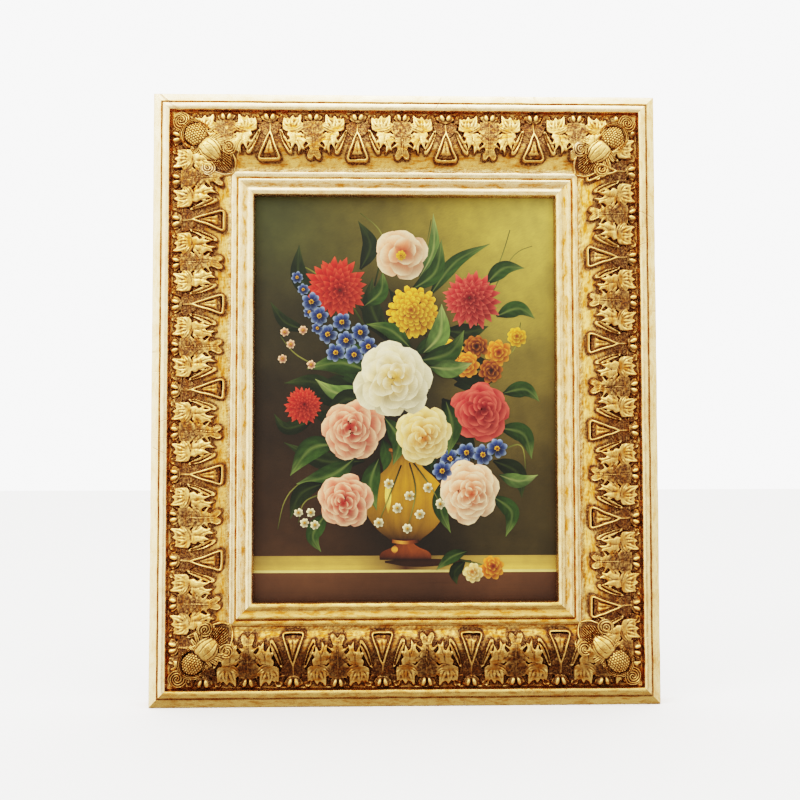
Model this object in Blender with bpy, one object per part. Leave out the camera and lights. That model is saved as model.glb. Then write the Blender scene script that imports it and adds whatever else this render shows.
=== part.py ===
"""A framed panel painting: a painted board in a wide carved and gilded frame, hanging upright.

Metres. X runs to the viewer's right and Z up, and the frame's face looks towards -Y. The origin is on the
outer face of the hanger, where it touches the wall. Each piece is modelled lying on its back, in one
plane with X to the right, Y to the top of the frame and Z towards the viewer, and the empty "easel"
stands that plane upright. A rail's own frame has X along it, Y = 0 on its outer edge, and -Y inwards.
"""

import math

import bmesh
import bpy
from mathutils import Matrix, Vector
from mathutils.geometry import delaunay_2d_cdt

# The board and how the frame holds it
panel_width = 0.305
panel_height = 0.406
panel_thickness = 0.005
panel_play = 0.0015
lip_cover = 0.0055
lip_thickness = 0.005
rebate_depth = 0.017
clearance = 0.0003

# The moulding, from its outer edge to the sight edge
rail_width = 0.097
edge_height = 0.034
outer_band = 0.0084
band_rise = 0.002
groove_width = 0.0012
groove_depth = 0.0014
second_band = 0.0076
second_band_crown = 0.0012
step_run = 0.0009
step_drop = 0.0058
hump_rise = 0.0075
hump_lean = 1.6
frieze_width = 0.0092
frieze_drop = 0.0012
bead_width = 0.0032
bead_rise = 0.0012
cushion_width = 0.0142
cushion_rise = 0.001
hump_steps = 6
cushion_steps = 4

# The spacing of the motifs along each rail, and the place along it of the loop nearest its middle. The
# spacings differ because the pressed strips of a frame stretch as they are laid.
top_pitch = 0.0428
left_pitch = 0.0408
bottom_pitch = 0.0425
right_pitch = 0.04215
top_loop_at = 0.0392
left_loop_at = 0.007
bottom_loop_at = 0.02275
right_loop_at = 0.0327

# The carved motifs, whose outlines below are in shares of the ornament's width
motif_sink = 0.0008
loop_rise = 0.0036
loop_cushion_rise = 0.0024
loop_valley_rise = 0.0006
leaf_rib_rise = 0.0038
acanthus_rib_rise = 0.0044
acanthus_waist_rise = 0.0026
bud_rise = 0.0048
bud_split_rise = 0.002
motif_half_width = 0.0106
bud_reach = 0.042
motif_reach = 0.088

# The corner ornament, with its places measured along the mitre from the frame's outer corner
corner_reach = 0.11
rosette_at = 0.0378
rosette_radius = 0.0088
rosette_rise = 0.0046
rosette_dip = 0.0014
fruit_at = 0.059
fruit_radius = 0.0098
fruit_rise = 0.0078
collar_radius = 0.0128
collar_rise = 0.0042
husk_at = 0.0785
husk_length = 0.0105
husk_half_width = 0.0088
husk_rise = 0.0066
scroll_at = 0.0915
scroll_off_mitre = 0.0125
scroll_radius = 0.0075
scroll_rise = 0.0046
plate_rise = 0.0022
rib_count = 5
rib_pitch = 0.0036
rib_rise = 0.0034
rib_spread = 1.4
rib_fan_round = 0.35
rib_start = 0.088
rib_end = 0.1025
rosette_sides = 8
fruit_sides = 10
husk_sides = 8
scroll_sides = 7
least_spacing = 0.0008

# The hanger and its nails
hanger_down = 0.03
hanger_length = 0.046
hanger_width = 0.009
hanger_thickness = 0.0008
hanger_lift = 0.0025
hanger_plateau = 0.022
hanger_joggle = 0.003
tooth_count = 7
tooth_depth = 0.0016
nail_radius = 0.0008
nail_head_radius = 0.0021
nail_head_thickness = 0.0007
nail_length = 0.011
nail_sides = 12

# The framing points that hold the board in the rebate
point_length = 0.014
point_width = 0.006
point_thickness = 0.0008
point_bite = 0.0065
point_from_corner = 0.06

sight_width = panel_width - 2 * lip_cover
sight_height = panel_height - 2 * lip_cover
outer_width = sight_width + 2 * rail_width
outer_height = sight_height + 2 * rail_width
rebate_wall = rail_width - lip_cover - panel_play
panel_front = rebate_depth - clearance
panel_back = panel_front - panel_thickness
field_start = outer_band + groove_width + second_band + step_run
field_end = rail_width - cushion_width - bead_width - frieze_width
field_width = field_end - field_start
band_height = edge_height + band_rise
field_floor = band_height - step_drop
wall_gap = clearance + hanger_thickness + hanger_lift

# Each rail: side of the frame, turn about the face's normal, outer length, motif spacing and middle loop
rails = {
    "top_rail": ((0, 1), 0, outer_width, top_pitch, top_loop_at),
    "left_rail": ((-1, 0), 90, outer_height, left_pitch, left_loop_at),
    "bottom_rail": ((0, -1), 180, outer_width, bottom_pitch, bottom_loop_at),
    "right_rail": ((1, 0), -90, outer_height, right_pitch, right_loop_at),
}
corners = {
    "corner_ornament_top_left": (-1, 1, 0),
    "corner_ornament_top_right": (1, 1, -90),
    "corner_ornament_bottom_right": (1, -1, 180),
    "corner_ornament_bottom_left": (-1, -1, 90),
}

# Half motifs, as rings from the outside in. A point is a share of the half width, a share of the way from the
# ornament's outer side to its inner side, and a height above the moulding's face. A first ring is sunk in it.
sunk = -motif_sink
loop_rings = [
    [(0, 0.2, sunk), (0.36, 0.25, sunk), (0.7, 0.6, sunk), (1.0, 0.92, sunk), (0.92, 1.0, sunk), (0, 1.01, sunk)],
    [(0, 0.29, loop_rise), (0.52, 0.62, loop_rise), (0.84, 0.94, loop_rise), (0, 0.965, loop_rise)],
    [
        (0, 0.4, loop_valley_rise), (0.34, 0.65, loop_valley_rise), (0.62, 0.9, loop_valley_rise),
        (0, 0.92, loop_valley_rise),
    ],
]
leaf_rings = [[
    (0, 0.2, sunk), (0.34, 0.24, sunk), (0.78, 0.37, sunk), (0.56, 0.45, sunk), (1.0, 0.58, sunk),
    (0.7, 0.68, sunk), (0.92, 0.82, sunk), (0.72, 0.99, sunk), (0, 0.93, sunk),
]]
leaf_ribs = [(0, 0.42, leaf_rib_rise), (0, 0.8, leaf_rib_rise)]
acanthus_rings = [[
    (0, 0.0, sunk), (0.17, 0.09, sunk), (0.5, 0.03, sunk), (0.54, 0.13, sunk), (0.88, 0.16, sunk),
    (0.44, 0.38, sunk), (0.9, 0.63, sunk), (0.5, 0.7, sunk), (0.42, 0.84, sunk), (0, 0.86, sunk),
]]
acanthus_ribs = [(0, 0.2, acanthus_rib_rise), (0, 0.4, acanthus_waist_rise), (0, 0.6, acanthus_rib_rise)]
bud_rings = [[(0, 0.04, sunk), (0.4, 0.01, sunk), (0.68, 0.1, sunk), (0.4, 0.2, sunk), (0, 0.21, sunk)]]
bud_ribs = [(0, 0.12, bud_split_rise)]

# Half outline of the corner ornament, in shares of its reach: along the mitre, and off the mitre
corner_outline = [
    (corner_reach * along, corner_reach * off) for along, off in (
        (0.25, 0), (0.27, 0.056), (0.344, 0.087), (0.426, 0.098), (0.482, 0.123), (0.568, 0.13), (0.65, 0.111),
        (0.714, 0.111), (0.773, 0.15), (0.836, 0.189), (0.914, 0.166), (0.941, 0.107), (1, 0),
    )
]


def empty_scene():
    for obj in list(bpy.data.objects):
        bpy.data.objects.remove(obj, do_unlink=True)


def new_collection(name):
    collection = bpy.data.collections.new(name)
    bpy.context.scene.collection.children.link(collection)
    return collection


def principled(name, colour, roughness, metallic):
    material = bpy.data.materials.new(name)
    material.use_nodes = True
    shader = material.node_tree.nodes["Principled BSDF"]
    shader.inputs["Base Color"].default_value = (*colour, 1)
    shader.inputs["Roughness"].default_value = roughness
    shader.inputs["Metallic"].default_value = metallic
    return material


def place(obj, collection, parent, location=(0, 0, 0), turn=0.0):
    """Puts an object in its collection and on its parent, turned about Z by degrees."""
    collection.objects.link(obj)
    obj.parent = parent
    obj.location = location
    obj.rotation_euler = (0, 0, math.radians(turn))
    return obj


def as_cutter(obj):
    obj.hide_render = True
    obj.display_type = "WIRE"
    return obj


def boolean(obj, other, operation):
    modifier = obj.modifiers.new(f"{operation.lower()} {other.name}", "BOOLEAN")
    modifier.operation = operation
    modifier.solver = "EXACT"
    modifier.object = other


def mesh_of(obj):
    """The object's evaluated mesh, as a new mesh of its own."""
    bpy.context.view_layer.update()
    evaluated = obj.evaluated_get(bpy.context.evaluated_depsgraph_get())
    return bpy.data.meshes.new_from_object(evaluated)


def finish_mesh(bm, name):
    bmesh.ops.recalc_face_normals(bm, faces=bm.faces)
    mesh = bpy.data.meshes.new(name)
    bm.to_mesh(mesh)
    bm.free()
    return mesh


def plate(name, outline, thickness):
    """A flat plate of the outline, thick about Z = 0: a filled 2D curve made a closed mesh."""
    curve = bpy.data.curves.new(name, "CURVE")
    curve.dimensions = "2D"
    curve.fill_mode = "BOTH"
    curve.extrude = thickness / 2
    spline = curve.splines.new("POLY")
    spline.points.add(len(outline) - 1)
    for point, (x, y) in zip(spline.points, outline):
        point.co = (x, y, 0, 1)
    spline.use_cyclic_u = True
    drawn = bpy.data.objects.new(name, curve)
    bpy.context.scene.collection.objects.link(drawn)
    mesh = mesh_of(drawn)
    bpy.data.objects.remove(drawn, do_unlink=True)
    bm = bmesh.new()
    bm.from_mesh(mesh)
    bmesh.ops.remove_doubles(bm, verts=bm.verts, dist=1e-6)
    return finish_mesh(bm, name)


def box(name, size, centre):
    bm = bmesh.new()
    bmesh.ops.create_cube(bm, size=1, matrix=Matrix.Translation(centre) @ Matrix.Diagonal((*size, 1)))
    return finish_mesh(bm, name)


def face_line():
    """The moulding's face, as (distance in from the outer edge, height above the back)."""
    line = [(0, edge_height), (outer_band, band_height)]
    second_start = outer_band + groove_width
    line.append((outer_band + groove_width / 2, band_height - groove_depth))
    line.append((second_start, band_height))
    line.append((second_start + second_band / 2, band_height + second_band_crown))
    line.append((second_start + second_band, band_height))
    for step in range(hump_steps + 1):
        share = step / hump_steps
        rise = hump_rise * math.sin(math.pi * share**hump_lean)
        line.append((inset_at(share), field_floor + rise))
    frieze_end = field_end + frieze_width
    frieze_height = field_floor - frieze_drop
    line.append((frieze_end, frieze_height))
    line.append((frieze_end + bead_width * 0.25, frieze_height + bead_rise))
    line.append((frieze_end + bead_width * 0.75, frieze_height + bead_rise))
    line.append((frieze_end + bead_width, frieze_height))
    cushion_start = frieze_end + bead_width
    cushion_top = frieze_height + cushion_rise
    sight_edge = rebate_depth + lip_thickness
    for step in range(1, cushion_steps + 1):
        angle = math.pi / 2 * step / cushion_steps
        inset = cushion_start + cushion_width * math.sin(angle)
        line.append((inset, sight_edge + (cushion_top - sight_edge) * math.cos(angle) ** 0.8))
    return line


def inset_at(share):
    return field_start + share * field_width


def face_height(inset):
    """Height of the moulding's face above its back, at a distance in from the frame's outer edge."""
    line = face_line()
    for (near, near_height), (far, far_height) in zip(line, line[1:]):
        if inset <= far:
            return near_height + (far_height - near_height) * (inset - near) / (far - near)
    return line[-1][1]


def rail_blank(name, length, raised=0.0, mitre_gap=clearance):
    """A plain moulding of the profile, mitred at both ends. Raised, it is the room a corner piece leaves."""
    outline = [(inset, height + raised) for inset, height in face_line()]
    outline += [(rail_width, rebate_depth), (rebate_wall, rebate_depth), (rebate_wall, 0), (0, 0)]
    mesh = plate(name, outline, length)
    # The plate has the profile in its XY plane and its length on Z, so it is turned onto the rail's axes.
    mesh.transform(Matrix(((0, 0, 1, 0), (-1, 0, 0, 0), (0, 1, 0, 0), (0, 0, 0, 1))))
    bm = bmesh.new()
    bm.from_mesh(mesh)
    for end in (-1, 1):
        normal = Vector((end, -1, 0)).normalized()
        corner = Vector((end * length / 2, 0, 0)) - normal * mitre_gap / 2
        everything = bm.verts[:] + bm.edges[:] + bm.faces[:]
        bmesh.ops.bisect_plane(bm, geom=everything, plane_co=corner, plane_no=normal, clear_outer=True)
        open_edges = [edge for edge in bm.edges if edge.is_boundary]
        bmesh.ops.contextual_create(bm, geom=open_edges)
    return finish_mesh(bm, name)


def sew(bm, outer, inner):
    """A strip of triangles between two lines of vertices that run the same way, always to the nearer one."""
    at_outer, at_inner = 0, 0
    while at_outer < len(outer) - 1 or at_inner < len(inner) - 1:
        here, there = outer[at_outer], inner[at_inner]
        outer_left = at_outer < len(outer) - 1
        inner_left = at_inner < len(inner) - 1
        outer_step = (outer[at_outer + 1].co - there.co).length if outer_left else math.inf
        inner_step = (inner[at_inner + 1].co - here.co).length if inner_left else math.inf
        if outer_step <= inner_step:
            at_outer += 1
            bm.faces.new((here, outer[at_outer], there))
        else:
            at_inner += 1
            bm.faces.new((here, inner[at_inner], there))


def motif(name, rings, ribs, crest=None):
    """A closed relief solid, built as half of itself and mirrored. Inside its last ring it rises to the ribs,
    which lie on its axis, or else to a crest that stands off the axis between the ring and the ribs."""
    bm = bmesh.new()

    def points(line):
        return [bm.verts.new((u * motif_half_width, -inset_at(share), rise)) for u, share, rise in line]

    lines = [points(ring) for ring in rings]
    axis = points(ribs)
    bm.faces.new(lines[0])
    if crest:
        middle = bm.faces.new(lines[-1] + axis[::-1])
        u, share, rise = crest
        centre = bmesh.ops.poke(bm, faces=[middle])["verts"][0]
        centre.co = (u * motif_half_width, -inset_at(share), rise)
    else:
        lines.append(axis)
    for outer, inner in zip(lines, lines[1:]):
        sew(bm, outer, inner)
    everything = bm.verts[:] + bm.edges[:] + bm.faces[:]
    bmesh.ops.mirror(bm, geom=everything, axis="X", merge_dist=1e-6)
    bmesh.ops.triangulate(bm, faces=bm.faces)
    return finish_mesh(bm, name)


def make_motifs():
    return {
        "loop": motif("loop", loop_rings, [(0, 0.74, loop_cushion_rise)]),
        "leaf": motif("leaf", leaf_rings, leaf_ribs),
        "acanthus": motif("acanthus", acanthus_rings, acanthus_ribs),
        "bud": motif("bud", bud_rings, bud_ribs, crest=(0.32, 0.11, bud_rise)),
    }


def press_on(bm, template, along):
    """Adds a motif at a place along the rail, with its heights measured from the moulding's face."""
    first = len(bm.verts)
    bm.from_mesh(template)
    bm.verts.ensure_lookup_table()
    for vert in bm.verts[first:]:
        vert.co.x += along
        vert.co.z += face_height(-vert.co.y)


def ornament_strip(name, length, pitch, middle_loop, motifs):
    """The row of loops and leaves with a bud at the head of each, and an acanthus leaf between them."""
    bm = bmesh.new()
    reach = int(length / pitch)
    for step in range(-reach, reach + 1):
        along = middle_loop + step * pitch
        if abs(along) < length / 2 - bud_reach:
            press_on(bm, motifs["bud"], along)
        if abs(along) < length / 2 - motif_reach:
            press_on(bm, motifs["loop" if step % 2 == 0 else "leaf"], along)
        between = along + pitch / 2
        if abs(between) < length / 2 - motif_reach:
            press_on(bm, motifs["acanthus"], between)
    return finish_mesh(bm, name)


def on_mitre(along, off):
    """A place by its distance along the mitre and off it, in a corner's own X and Y."""
    return (along + off) / math.sqrt(2), (off - along) / math.sqrt(2)


def corner_face(along, off):
    x, y = on_mitre(along, off)
    return face_height(min(x, -y))


def corner_room(name, margin):
    """A tall prism round the corner ornament, which the rails' motifs keep out of."""
    outline = []
    for side in (1, -1):
        half = corner_outline if side > 0 else corner_outline[-2:0:-1]
        outline += [on_mitre(along, side * off) for along, off in half]
    mesh = plate(name, outline, 2 * band_height)
    centre = Vector((*on_mitre(husk_at, 0), 0))
    for vert in mesh.vertices:
        away = vert.co - centre
        away.z = 0
        vert.co += away.normalized() * margin
        vert.co.z += band_height
    return mesh


def ring(along, off, along_radius, off_radius, rise, sides, start=0.0):
    """Points round an ellipse on the corner, each with its height above the moulding's face."""
    points = []
    for number in range(sides):
        angle = math.tau * (number + start) / sides
        points.append((along + along_radius * math.cos(angle), off + off_radius * math.sin(angle), rise))
    return points


def boss(along, off, along_radius, off_radius, foot, top, sides):
    """A rounded boss: its foot, its shoulder and its top."""
    points = ring(along, off, along_radius, off_radius, foot, sides)
    points += ring(along, off, 0.66 * along_radius, 0.66 * off_radius, foot + 0.72 * (top - foot), sides, 0.5)
    points.append((along, off, top))
    return points


def corner_points():
    """What stands on the corner's plate: a rosette, a fruit in its collar, a husk, two scrolls and ribs."""
    points = ring(rosette_at, 0, rosette_radius, rosette_radius, plate_rise, rosette_sides)
    points += ring(rosette_at, 0, 0.55 * rosette_radius, 0.55 * rosette_radius, rosette_rise, rosette_sides)
    points.append((rosette_at, 0, rosette_rise - rosette_dip))
    points += ring(fruit_at, 0, collar_radius, collar_radius, collar_rise, fruit_sides)
    points += boss(fruit_at, 0, fruit_radius, fruit_radius, plate_rise, fruit_rise, fruit_sides)
    points += boss(husk_at, 0, husk_length, husk_half_width, plate_rise, husk_rise, husk_sides)
    for side in (1, -1):
        points += boss(
            scroll_at, side * scroll_off_mitre, scroll_radius, scroll_radius, plate_rise, scroll_rise, scroll_sides,
        )
    for number in range(2 * rib_count - 1):
        off = (number - rib_count + 1) * rib_pitch / 2
        rise = plate_rise if number % 2 else rib_rise
        shorten = abs(off) * rib_fan_round
        points += [(rib_start - shorten, off, rise), (rib_end - shorten, off * rib_spread, rise)]
    return points


def corner_body():
    """The corner's carving over a flat bottom, as one surface through its points, before it is seated."""
    outline = [(along, off) for along, off in corner_outline]
    outline += [(along, -off) for along, off in corner_outline[-2:0:-1]]
    inside = [point for point in corner_points() if keeps_clear(point, outline)]
    flat = [Vector(place) for place in outline] + [Vector(point[:2]) for point in inside]
    rises = [plate_rise] * len(outline) + [point[2] for point in inside]
    border = [list(range(len(outline)))]
    _, _, triangles, _, _, _ = delaunay_2d_cdt(flat, [], border, 1, 1e-6)
    bm = bmesh.new()
    top = [bm.verts.new((*on_mitre(*place), corner_face(*place) + rise)) for place, rise in zip(flat, rises)]
    floor = [bm.verts.new((*on_mitre(*place), field_floor / 2)) for place in outline]
    for triangle in triangles:
        bm.faces.new([top[number] for number in triangle])
    for number, (here, there) in enumerate(zip(floor, floor[1:] + floor[:1])):
        bm.faces.new((here, there, top[(number + 1) % len(floor)], top[number]))
    bm.faces.new(floor)
    return finish_mesh(bm, "corner body")


def keeps_clear(point, outline):
    """Whether a point stays inside the outline, by at least the least distance between two points."""
    place = Vector(point[:2])
    for here, there in zip(outline, outline[1:] + outline[:1]):
        here, along = Vector(here), Vector(there) - Vector(here)
        share = min(max((place - here).dot(along) / along.length_squared, 0), 1)
        if (place - here - along * share).length < least_spacing:
            return False
    return True


def corner_seats():
    """The room of the two mitred rails under a corner, raised by the clearance, as two meshes."""
    room = 2.4 * corner_reach
    seats = []
    for turn, centre in ((0, (room / 2, 0, 0)), (90, (0, -room / 2, 0))):
        seat = rail_blank("corner seat", room, clearance, -clearance)
        seat.transform(Matrix.Translation(centre) @ Matrix.Rotation(math.radians(turn), 4, "Z"))
        seats.append(seat)
    return seats


def corner_mesh():
    """The whole corner ornament, seated a clearance above the two mitred rails."""
    body = bpy.data.objects.new("corner body", corner_body())
    seats = [bpy.data.objects.new("corner seat", seat) for seat in corner_seats()]
    for obj in [body, *seats]:
        bpy.context.scene.collection.objects.link(obj)
    for seat in seats:
        boolean(body, seat, "DIFFERENCE")
    mesh = mesh_of(body)
    for obj in [body, *seats]:
        bpy.data.objects.remove(obj, do_unlink=True)
    mesh.name = "corner ornament"
    return mesh


def point_places():
    """Each framing point's rail and its place along that rail."""
    places = []
    for name, (side, _, _, _, _) in rails.items():
        panel_side = panel_width if side[0] == 0 else panel_height
        end = panel_side / 2 - point_from_corner
        for along in ((-end, end) if side[0] == 0 else (-end, 0, end)):
            places.append((name, along))
    return places


def framing_point():
    """A thin steel tab with a pointed end, which is driven into the rebate's wall behind the board."""
    half = point_width / 2
    outline = [
        (-half, 0), (half, 0), (half, point_length - half),
        (half * 0.25, point_length), (-half * 0.25, point_length), (-half, point_length - half),
    ]
    mesh = plate("framing point", outline, point_thickness)
    inner_end = rebate_wall + point_length - point_bite
    mesh.transform(Matrix.Translation((0, -inner_end, panel_back - clearance - point_thickness / 2)))
    return mesh


def point_slot():
    slot_start = rebate_wall - point_bite - clearance
    size = (point_width + 2 * clearance, rail_width - slot_start, point_thickness + 2 * clearance)
    height = panel_back - clearance - point_thickness / 2
    return box("point slot", size, (0, -(slot_start + size[1] / 2), height))


def hanger_mesh():
    """A sawtooth hanger: a strip whose middle stands off the wood, drawn from its side and cut with teeth."""
    end = hanger_length / 2
    flat = hanger_plateau / 2
    bend = flat + hanger_joggle
    line = [(-end, 0), (-bend, 0), (-flat, hanger_lift), (flat, hanger_lift), (bend, 0), (end, 0)]
    outline = line + [(x, height + hanger_thickness) for x, height in reversed(line)]
    mesh = plate("hanger strip", outline, hanger_width)
    mesh.transform(Matrix.Rotation(math.radians(90), 4, "X"))
    return mesh


def hanger_teeth():
    """The notches along the plateau's lower edge, as one mesh of small prisms."""
    bm = bmesh.new()
    pitch = hanger_plateau / (tooth_count + 1)
    edge = -hanger_width / 2
    for number in range(tooth_count):
        centre = (number - (tooth_count - 1) / 2) * pitch
        low, half = edge - tooth_depth, pitch * 0.8
        corner_points = [(centre - half, low), (centre + half, low), (centre, edge + tooth_depth)]
        tooth = plate("tooth", corner_points, 2 * hanger_thickness)
        tooth.transform(Matrix.Translation((0, 0, hanger_lift + hanger_thickness / 2)))
        bm.from_mesh(tooth)
    return finish_mesh(bm, "hanger teeth")


def cylinder(name, radius, low, high):
    bm = bmesh.new()
    matrix = Matrix.Translation((0, 0, (low + high) / 2))
    bmesh.ops.create_cone(
        bm, cap_ends=True, segments=nail_sides, radius1=radius, radius2=radius, depth=high - low, matrix=matrix,
    )
    return finish_mesh(bm, name)


def nail_mesh():
    """A round nail seen from its head, turned from its profile. Z = 0 is the head's underside."""
    bm = bmesh.new()
    profile = [
        (0, nail_head_thickness), (nail_head_radius * 0.8, nail_head_thickness), (nail_head_radius, 0),
        (nail_radius, 0), (nail_radius, -nail_length * 0.85), (0, -nail_length),
    ]
    line = [bm.verts.new((x, 0, z)) for x, z in profile]
    edges = [bm.edges.new(pair) for pair in zip(line, line[1:])]
    bmesh.ops.spin(
        bm, geom=line + edges, cent=(0, 0, 0), axis=(0, 0, 1), angle=math.tau, steps=nail_sides, use_merge=True,
    )
    bmesh.ops.remove_doubles(bm, verts=bm.verts, dist=1e-6)
    return finish_mesh(bm, "nail")


def build():
    empty_scene()
    pieces = new_collection("framed_panel_painting")
    cutters = new_collection("cutters")
    gilt_wood = principled("gilt wood", (0.78, 0.56, 0.24), 0.36, 0.75)
    gilt_compo = principled("gilt composition", (0.72, 0.49, 0.19), 0.4, 0.75)
    painted_board = principled("painted board", (0.2, 0.15, 0.07), 0.45, 0.0)
    zinc_steel = principled("zinc plated steel", (0.62, 0.62, 0.6), 0.35, 1.0)

    centre_height = hanger_down - outer_height / 2
    easel = place(bpy.data.objects.new("easel", None), pieces, None, (0, -wall_gap, centre_height))
    easel.rotation_euler = (math.radians(90), 0, 0)

    def add(name, mesh, material, location=(0, 0, 0), turn=0.0):
        obj = place(bpy.data.objects.new(name, mesh), pieces, easel, location, turn)
        if not mesh.materials:
            mesh.materials.append(material)
        return obj

    def cutter(name, mesh, location=(0, 0, 0), turn=0.0):
        return as_cutter(place(bpy.data.objects.new(name, mesh), cutters, easel, location, turn))

    def at_rail(name, along=0.0):
        side, turn = rails[name][:2]
        edge = Vector((side[0] * outer_width / 2, side[1] * outer_height / 2, 0))
        return edge + Matrix.Rotation(math.radians(turn), 3, "Z") @ Vector((along, 0, 0)), turn

    def at_corner(name):
        right, up, turn = corners[name]
        return (right * outer_width / 2, up * outer_height / 2, 0), turn

    corner = corner_mesh()
    corner_clear = corner_room("corner room", 2 * clearance)
    rooms = {}
    for name in corners:
        add(name, corner, gilt_compo, *at_corner(name))
        rooms[name] = cutter(f"room for {name}", corner_clear, *at_corner(name))

    motifs = make_motifs()
    for name, (_, _, length, pitch, middle_loop) in rails.items():
        rail = add(name, rail_blank(name, length), gilt_wood, *at_rail(name))
        strip_mesh = ornament_strip(f"{name} ornament", length, pitch, middle_loop, motifs)
        strip = cutter(f"{name} ornament", strip_mesh, *at_rail(name))
        for corner_name, room in rooms.items():
            if name.split("_")[0] in corner_name.split("_"):
                boolean(strip, room, "DIFFERENCE")
        boolean(rail, strip, "UNION")

    panel_size = (panel_width, panel_height, panel_thickness)
    panel = box("painted panel", panel_size, (0, 0, panel_back + panel_thickness / 2))
    add("painted_panel", panel, painted_board)

    point, slot = framing_point(), point_slot()
    for number, (name, along) in enumerate(point_places(), 1):
        add(f"framing_point_{number}", point, zinc_steel, *at_rail(name, along))
        boolean(bpy.data.objects[name], cutter(f"slot {number}", slot, *at_rail(name, along)), "DIFFERENCE")

    hanger_at = Vector((0, outer_height / 2 - hanger_down, -clearance))
    hanger = add("sawtooth_hanger", hanger_mesh(), zinc_steel, hanger_at)
    hanger.rotation_euler = (0, math.radians(180), 0)
    teeth = cutter("hanger teeth", hanger_teeth(), hanger_at)
    teeth.rotation_euler = hanger.rotation_euler
    boolean(hanger, teeth, "DIFFERENCE")
    hole = cylinder("nail hole", nail_radius + clearance, -nail_length - 2 * clearance, hanger_lift)
    tab_centre = (hanger_length / 2 + hanger_plateau / 2 + hanger_joggle) / 2
    for word, side in (("left", 1), ("right", -1)):
        nail_at = hanger_at + Vector((side * tab_centre, 0, -hanger_thickness - clearance))
        nail = add(f"hanger_nail_{word}", nail_mesh(), zinc_steel, nail_at)
        hole_at = cutter(f"nail hole {word}", hole, nail_at)
        for turned in (nail, hole_at):
            turned.rotation_euler = hanger.rotation_euler
        boolean(hanger, hole_at, "DIFFERENCE")
        boolean(bpy.data.objects["top_rail"], hole_at, "DIFFERENCE")


build()
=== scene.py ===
import math

import bpy
import numpy as np
from mathutils import Matrix, Vector


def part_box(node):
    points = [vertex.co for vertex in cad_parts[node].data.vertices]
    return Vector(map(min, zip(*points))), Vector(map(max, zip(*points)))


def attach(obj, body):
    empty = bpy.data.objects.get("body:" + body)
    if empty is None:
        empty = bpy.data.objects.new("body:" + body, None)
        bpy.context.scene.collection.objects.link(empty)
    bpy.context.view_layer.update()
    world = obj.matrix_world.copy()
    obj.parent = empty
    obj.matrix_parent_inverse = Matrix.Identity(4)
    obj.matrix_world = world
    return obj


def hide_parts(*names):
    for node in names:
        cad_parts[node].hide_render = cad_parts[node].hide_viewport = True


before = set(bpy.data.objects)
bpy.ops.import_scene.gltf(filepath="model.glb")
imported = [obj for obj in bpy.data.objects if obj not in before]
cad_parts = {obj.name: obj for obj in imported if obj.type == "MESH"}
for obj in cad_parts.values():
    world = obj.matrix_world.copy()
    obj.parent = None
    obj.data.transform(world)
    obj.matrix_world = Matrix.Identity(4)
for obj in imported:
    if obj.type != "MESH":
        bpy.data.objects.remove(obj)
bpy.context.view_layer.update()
print("frame loaded")

# The whole frame, in metres. Shapes on the rails are given in millimetres from the frame's outer edge.
wholeFrame = {
    "width": 0.488,
    "height": 0.589,
    "wallGap": 0.0036,
    "hangerDown": 0.03,
    "milli": 0.001,
}
milli = wholeFrame["milli"]
frameCentre = wholeFrame["hangerDown"] - wholeFrame["height"] / 2
# The easel plane has X right, Y up the picture and Z towards the viewer.
easel = Matrix.Translation((0, -wholeFrame["wallGap"], frameCentre))
easel = easel @ Matrix.Rotation(math.radians(90), 4, "X")


# Small helpers

def deselectAll():
    if bpy.context.object and bpy.context.object.mode != "OBJECT":
        bpy.ops.object.mode_set(mode="OBJECT")
    bpy.ops.object.select_all(action="DESELECT")


def takeUp(obj):
    deselectAll()
    obj.select_set(True)
    bpy.context.view_layer.objects.active = obj


def newPiece(name):
    obj = bpy.context.object
    obj.name = name
    obj.data.name = name
    return obj


def applyModifier(obj, modifier):
    takeUp(obj)
    bpy.ops.object.modifier_apply(modifier=modifier.name)


def coordinatesOf(mesh):
    flat = np.empty(len(mesh.vertices) * 3, np.float32)
    mesh.vertices.foreach_get("co", flat)
    return flat.reshape(-1, 3).astype(float)


def setCoordinates(mesh, places):
    mesh.vertices.foreach_set("co", np.asarray(places, np.float32).ravel())
    mesh.update()


def writeColour(mesh, name, red, green, blue, alpha=1.0):
    layer = mesh.color_attributes.new(name, "FLOAT_COLOR", "POINT")
    values = np.stack([red, green, blue, np.full_like(red, alpha)], axis=1)
    layer.data.foreach_set("color", values.astype(np.float32).ravel())


def writeVector(mesh, name, values):
    layer = mesh.attributes.new(name, "FLOAT_VECTOR", "POINT")
    layer.data.foreach_set("vector", np.asarray(values, np.float32).ravel())


def finishPiece(obj, replaced):
    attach(obj, "root")
    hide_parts(replaced)


def turnOutwards():
    # In edit mode
    bpy.ops.mesh.select_all(action="SELECT")
    bpy.ops.mesh.normals_make_consistent(inside=False)


def eased(value):
    value = np.clip(value, 0, 1)
    return value * value * (3 - 2 * value)


def waves(x, y, size, seed, count=9):
    # Soft irregular unevenness between about -1 and 1, the same at every run
    chance = np.random.RandomState(seed)
    total = np.zeros_like(x)
    for _ in range(count):
        angle = chance.uniform(0, math.tau)
        length = size * chance.uniform(0.6, 1.7)
        phase = chance.uniform(0, math.tau)
        total += np.sin((x * math.cos(angle) + y * math.sin(angle)) * math.tau / length + phase)
    return total / math.sqrt(count)


def highestNear(values, reach):
    # The highest value within reach, both ways
    for axis in (0, 1):
        shifted = [np.roll(values, step, axis) for step in range(-reach, reach + 1)]
        values = np.maximum.reduce(shifted)
    return values


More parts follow.
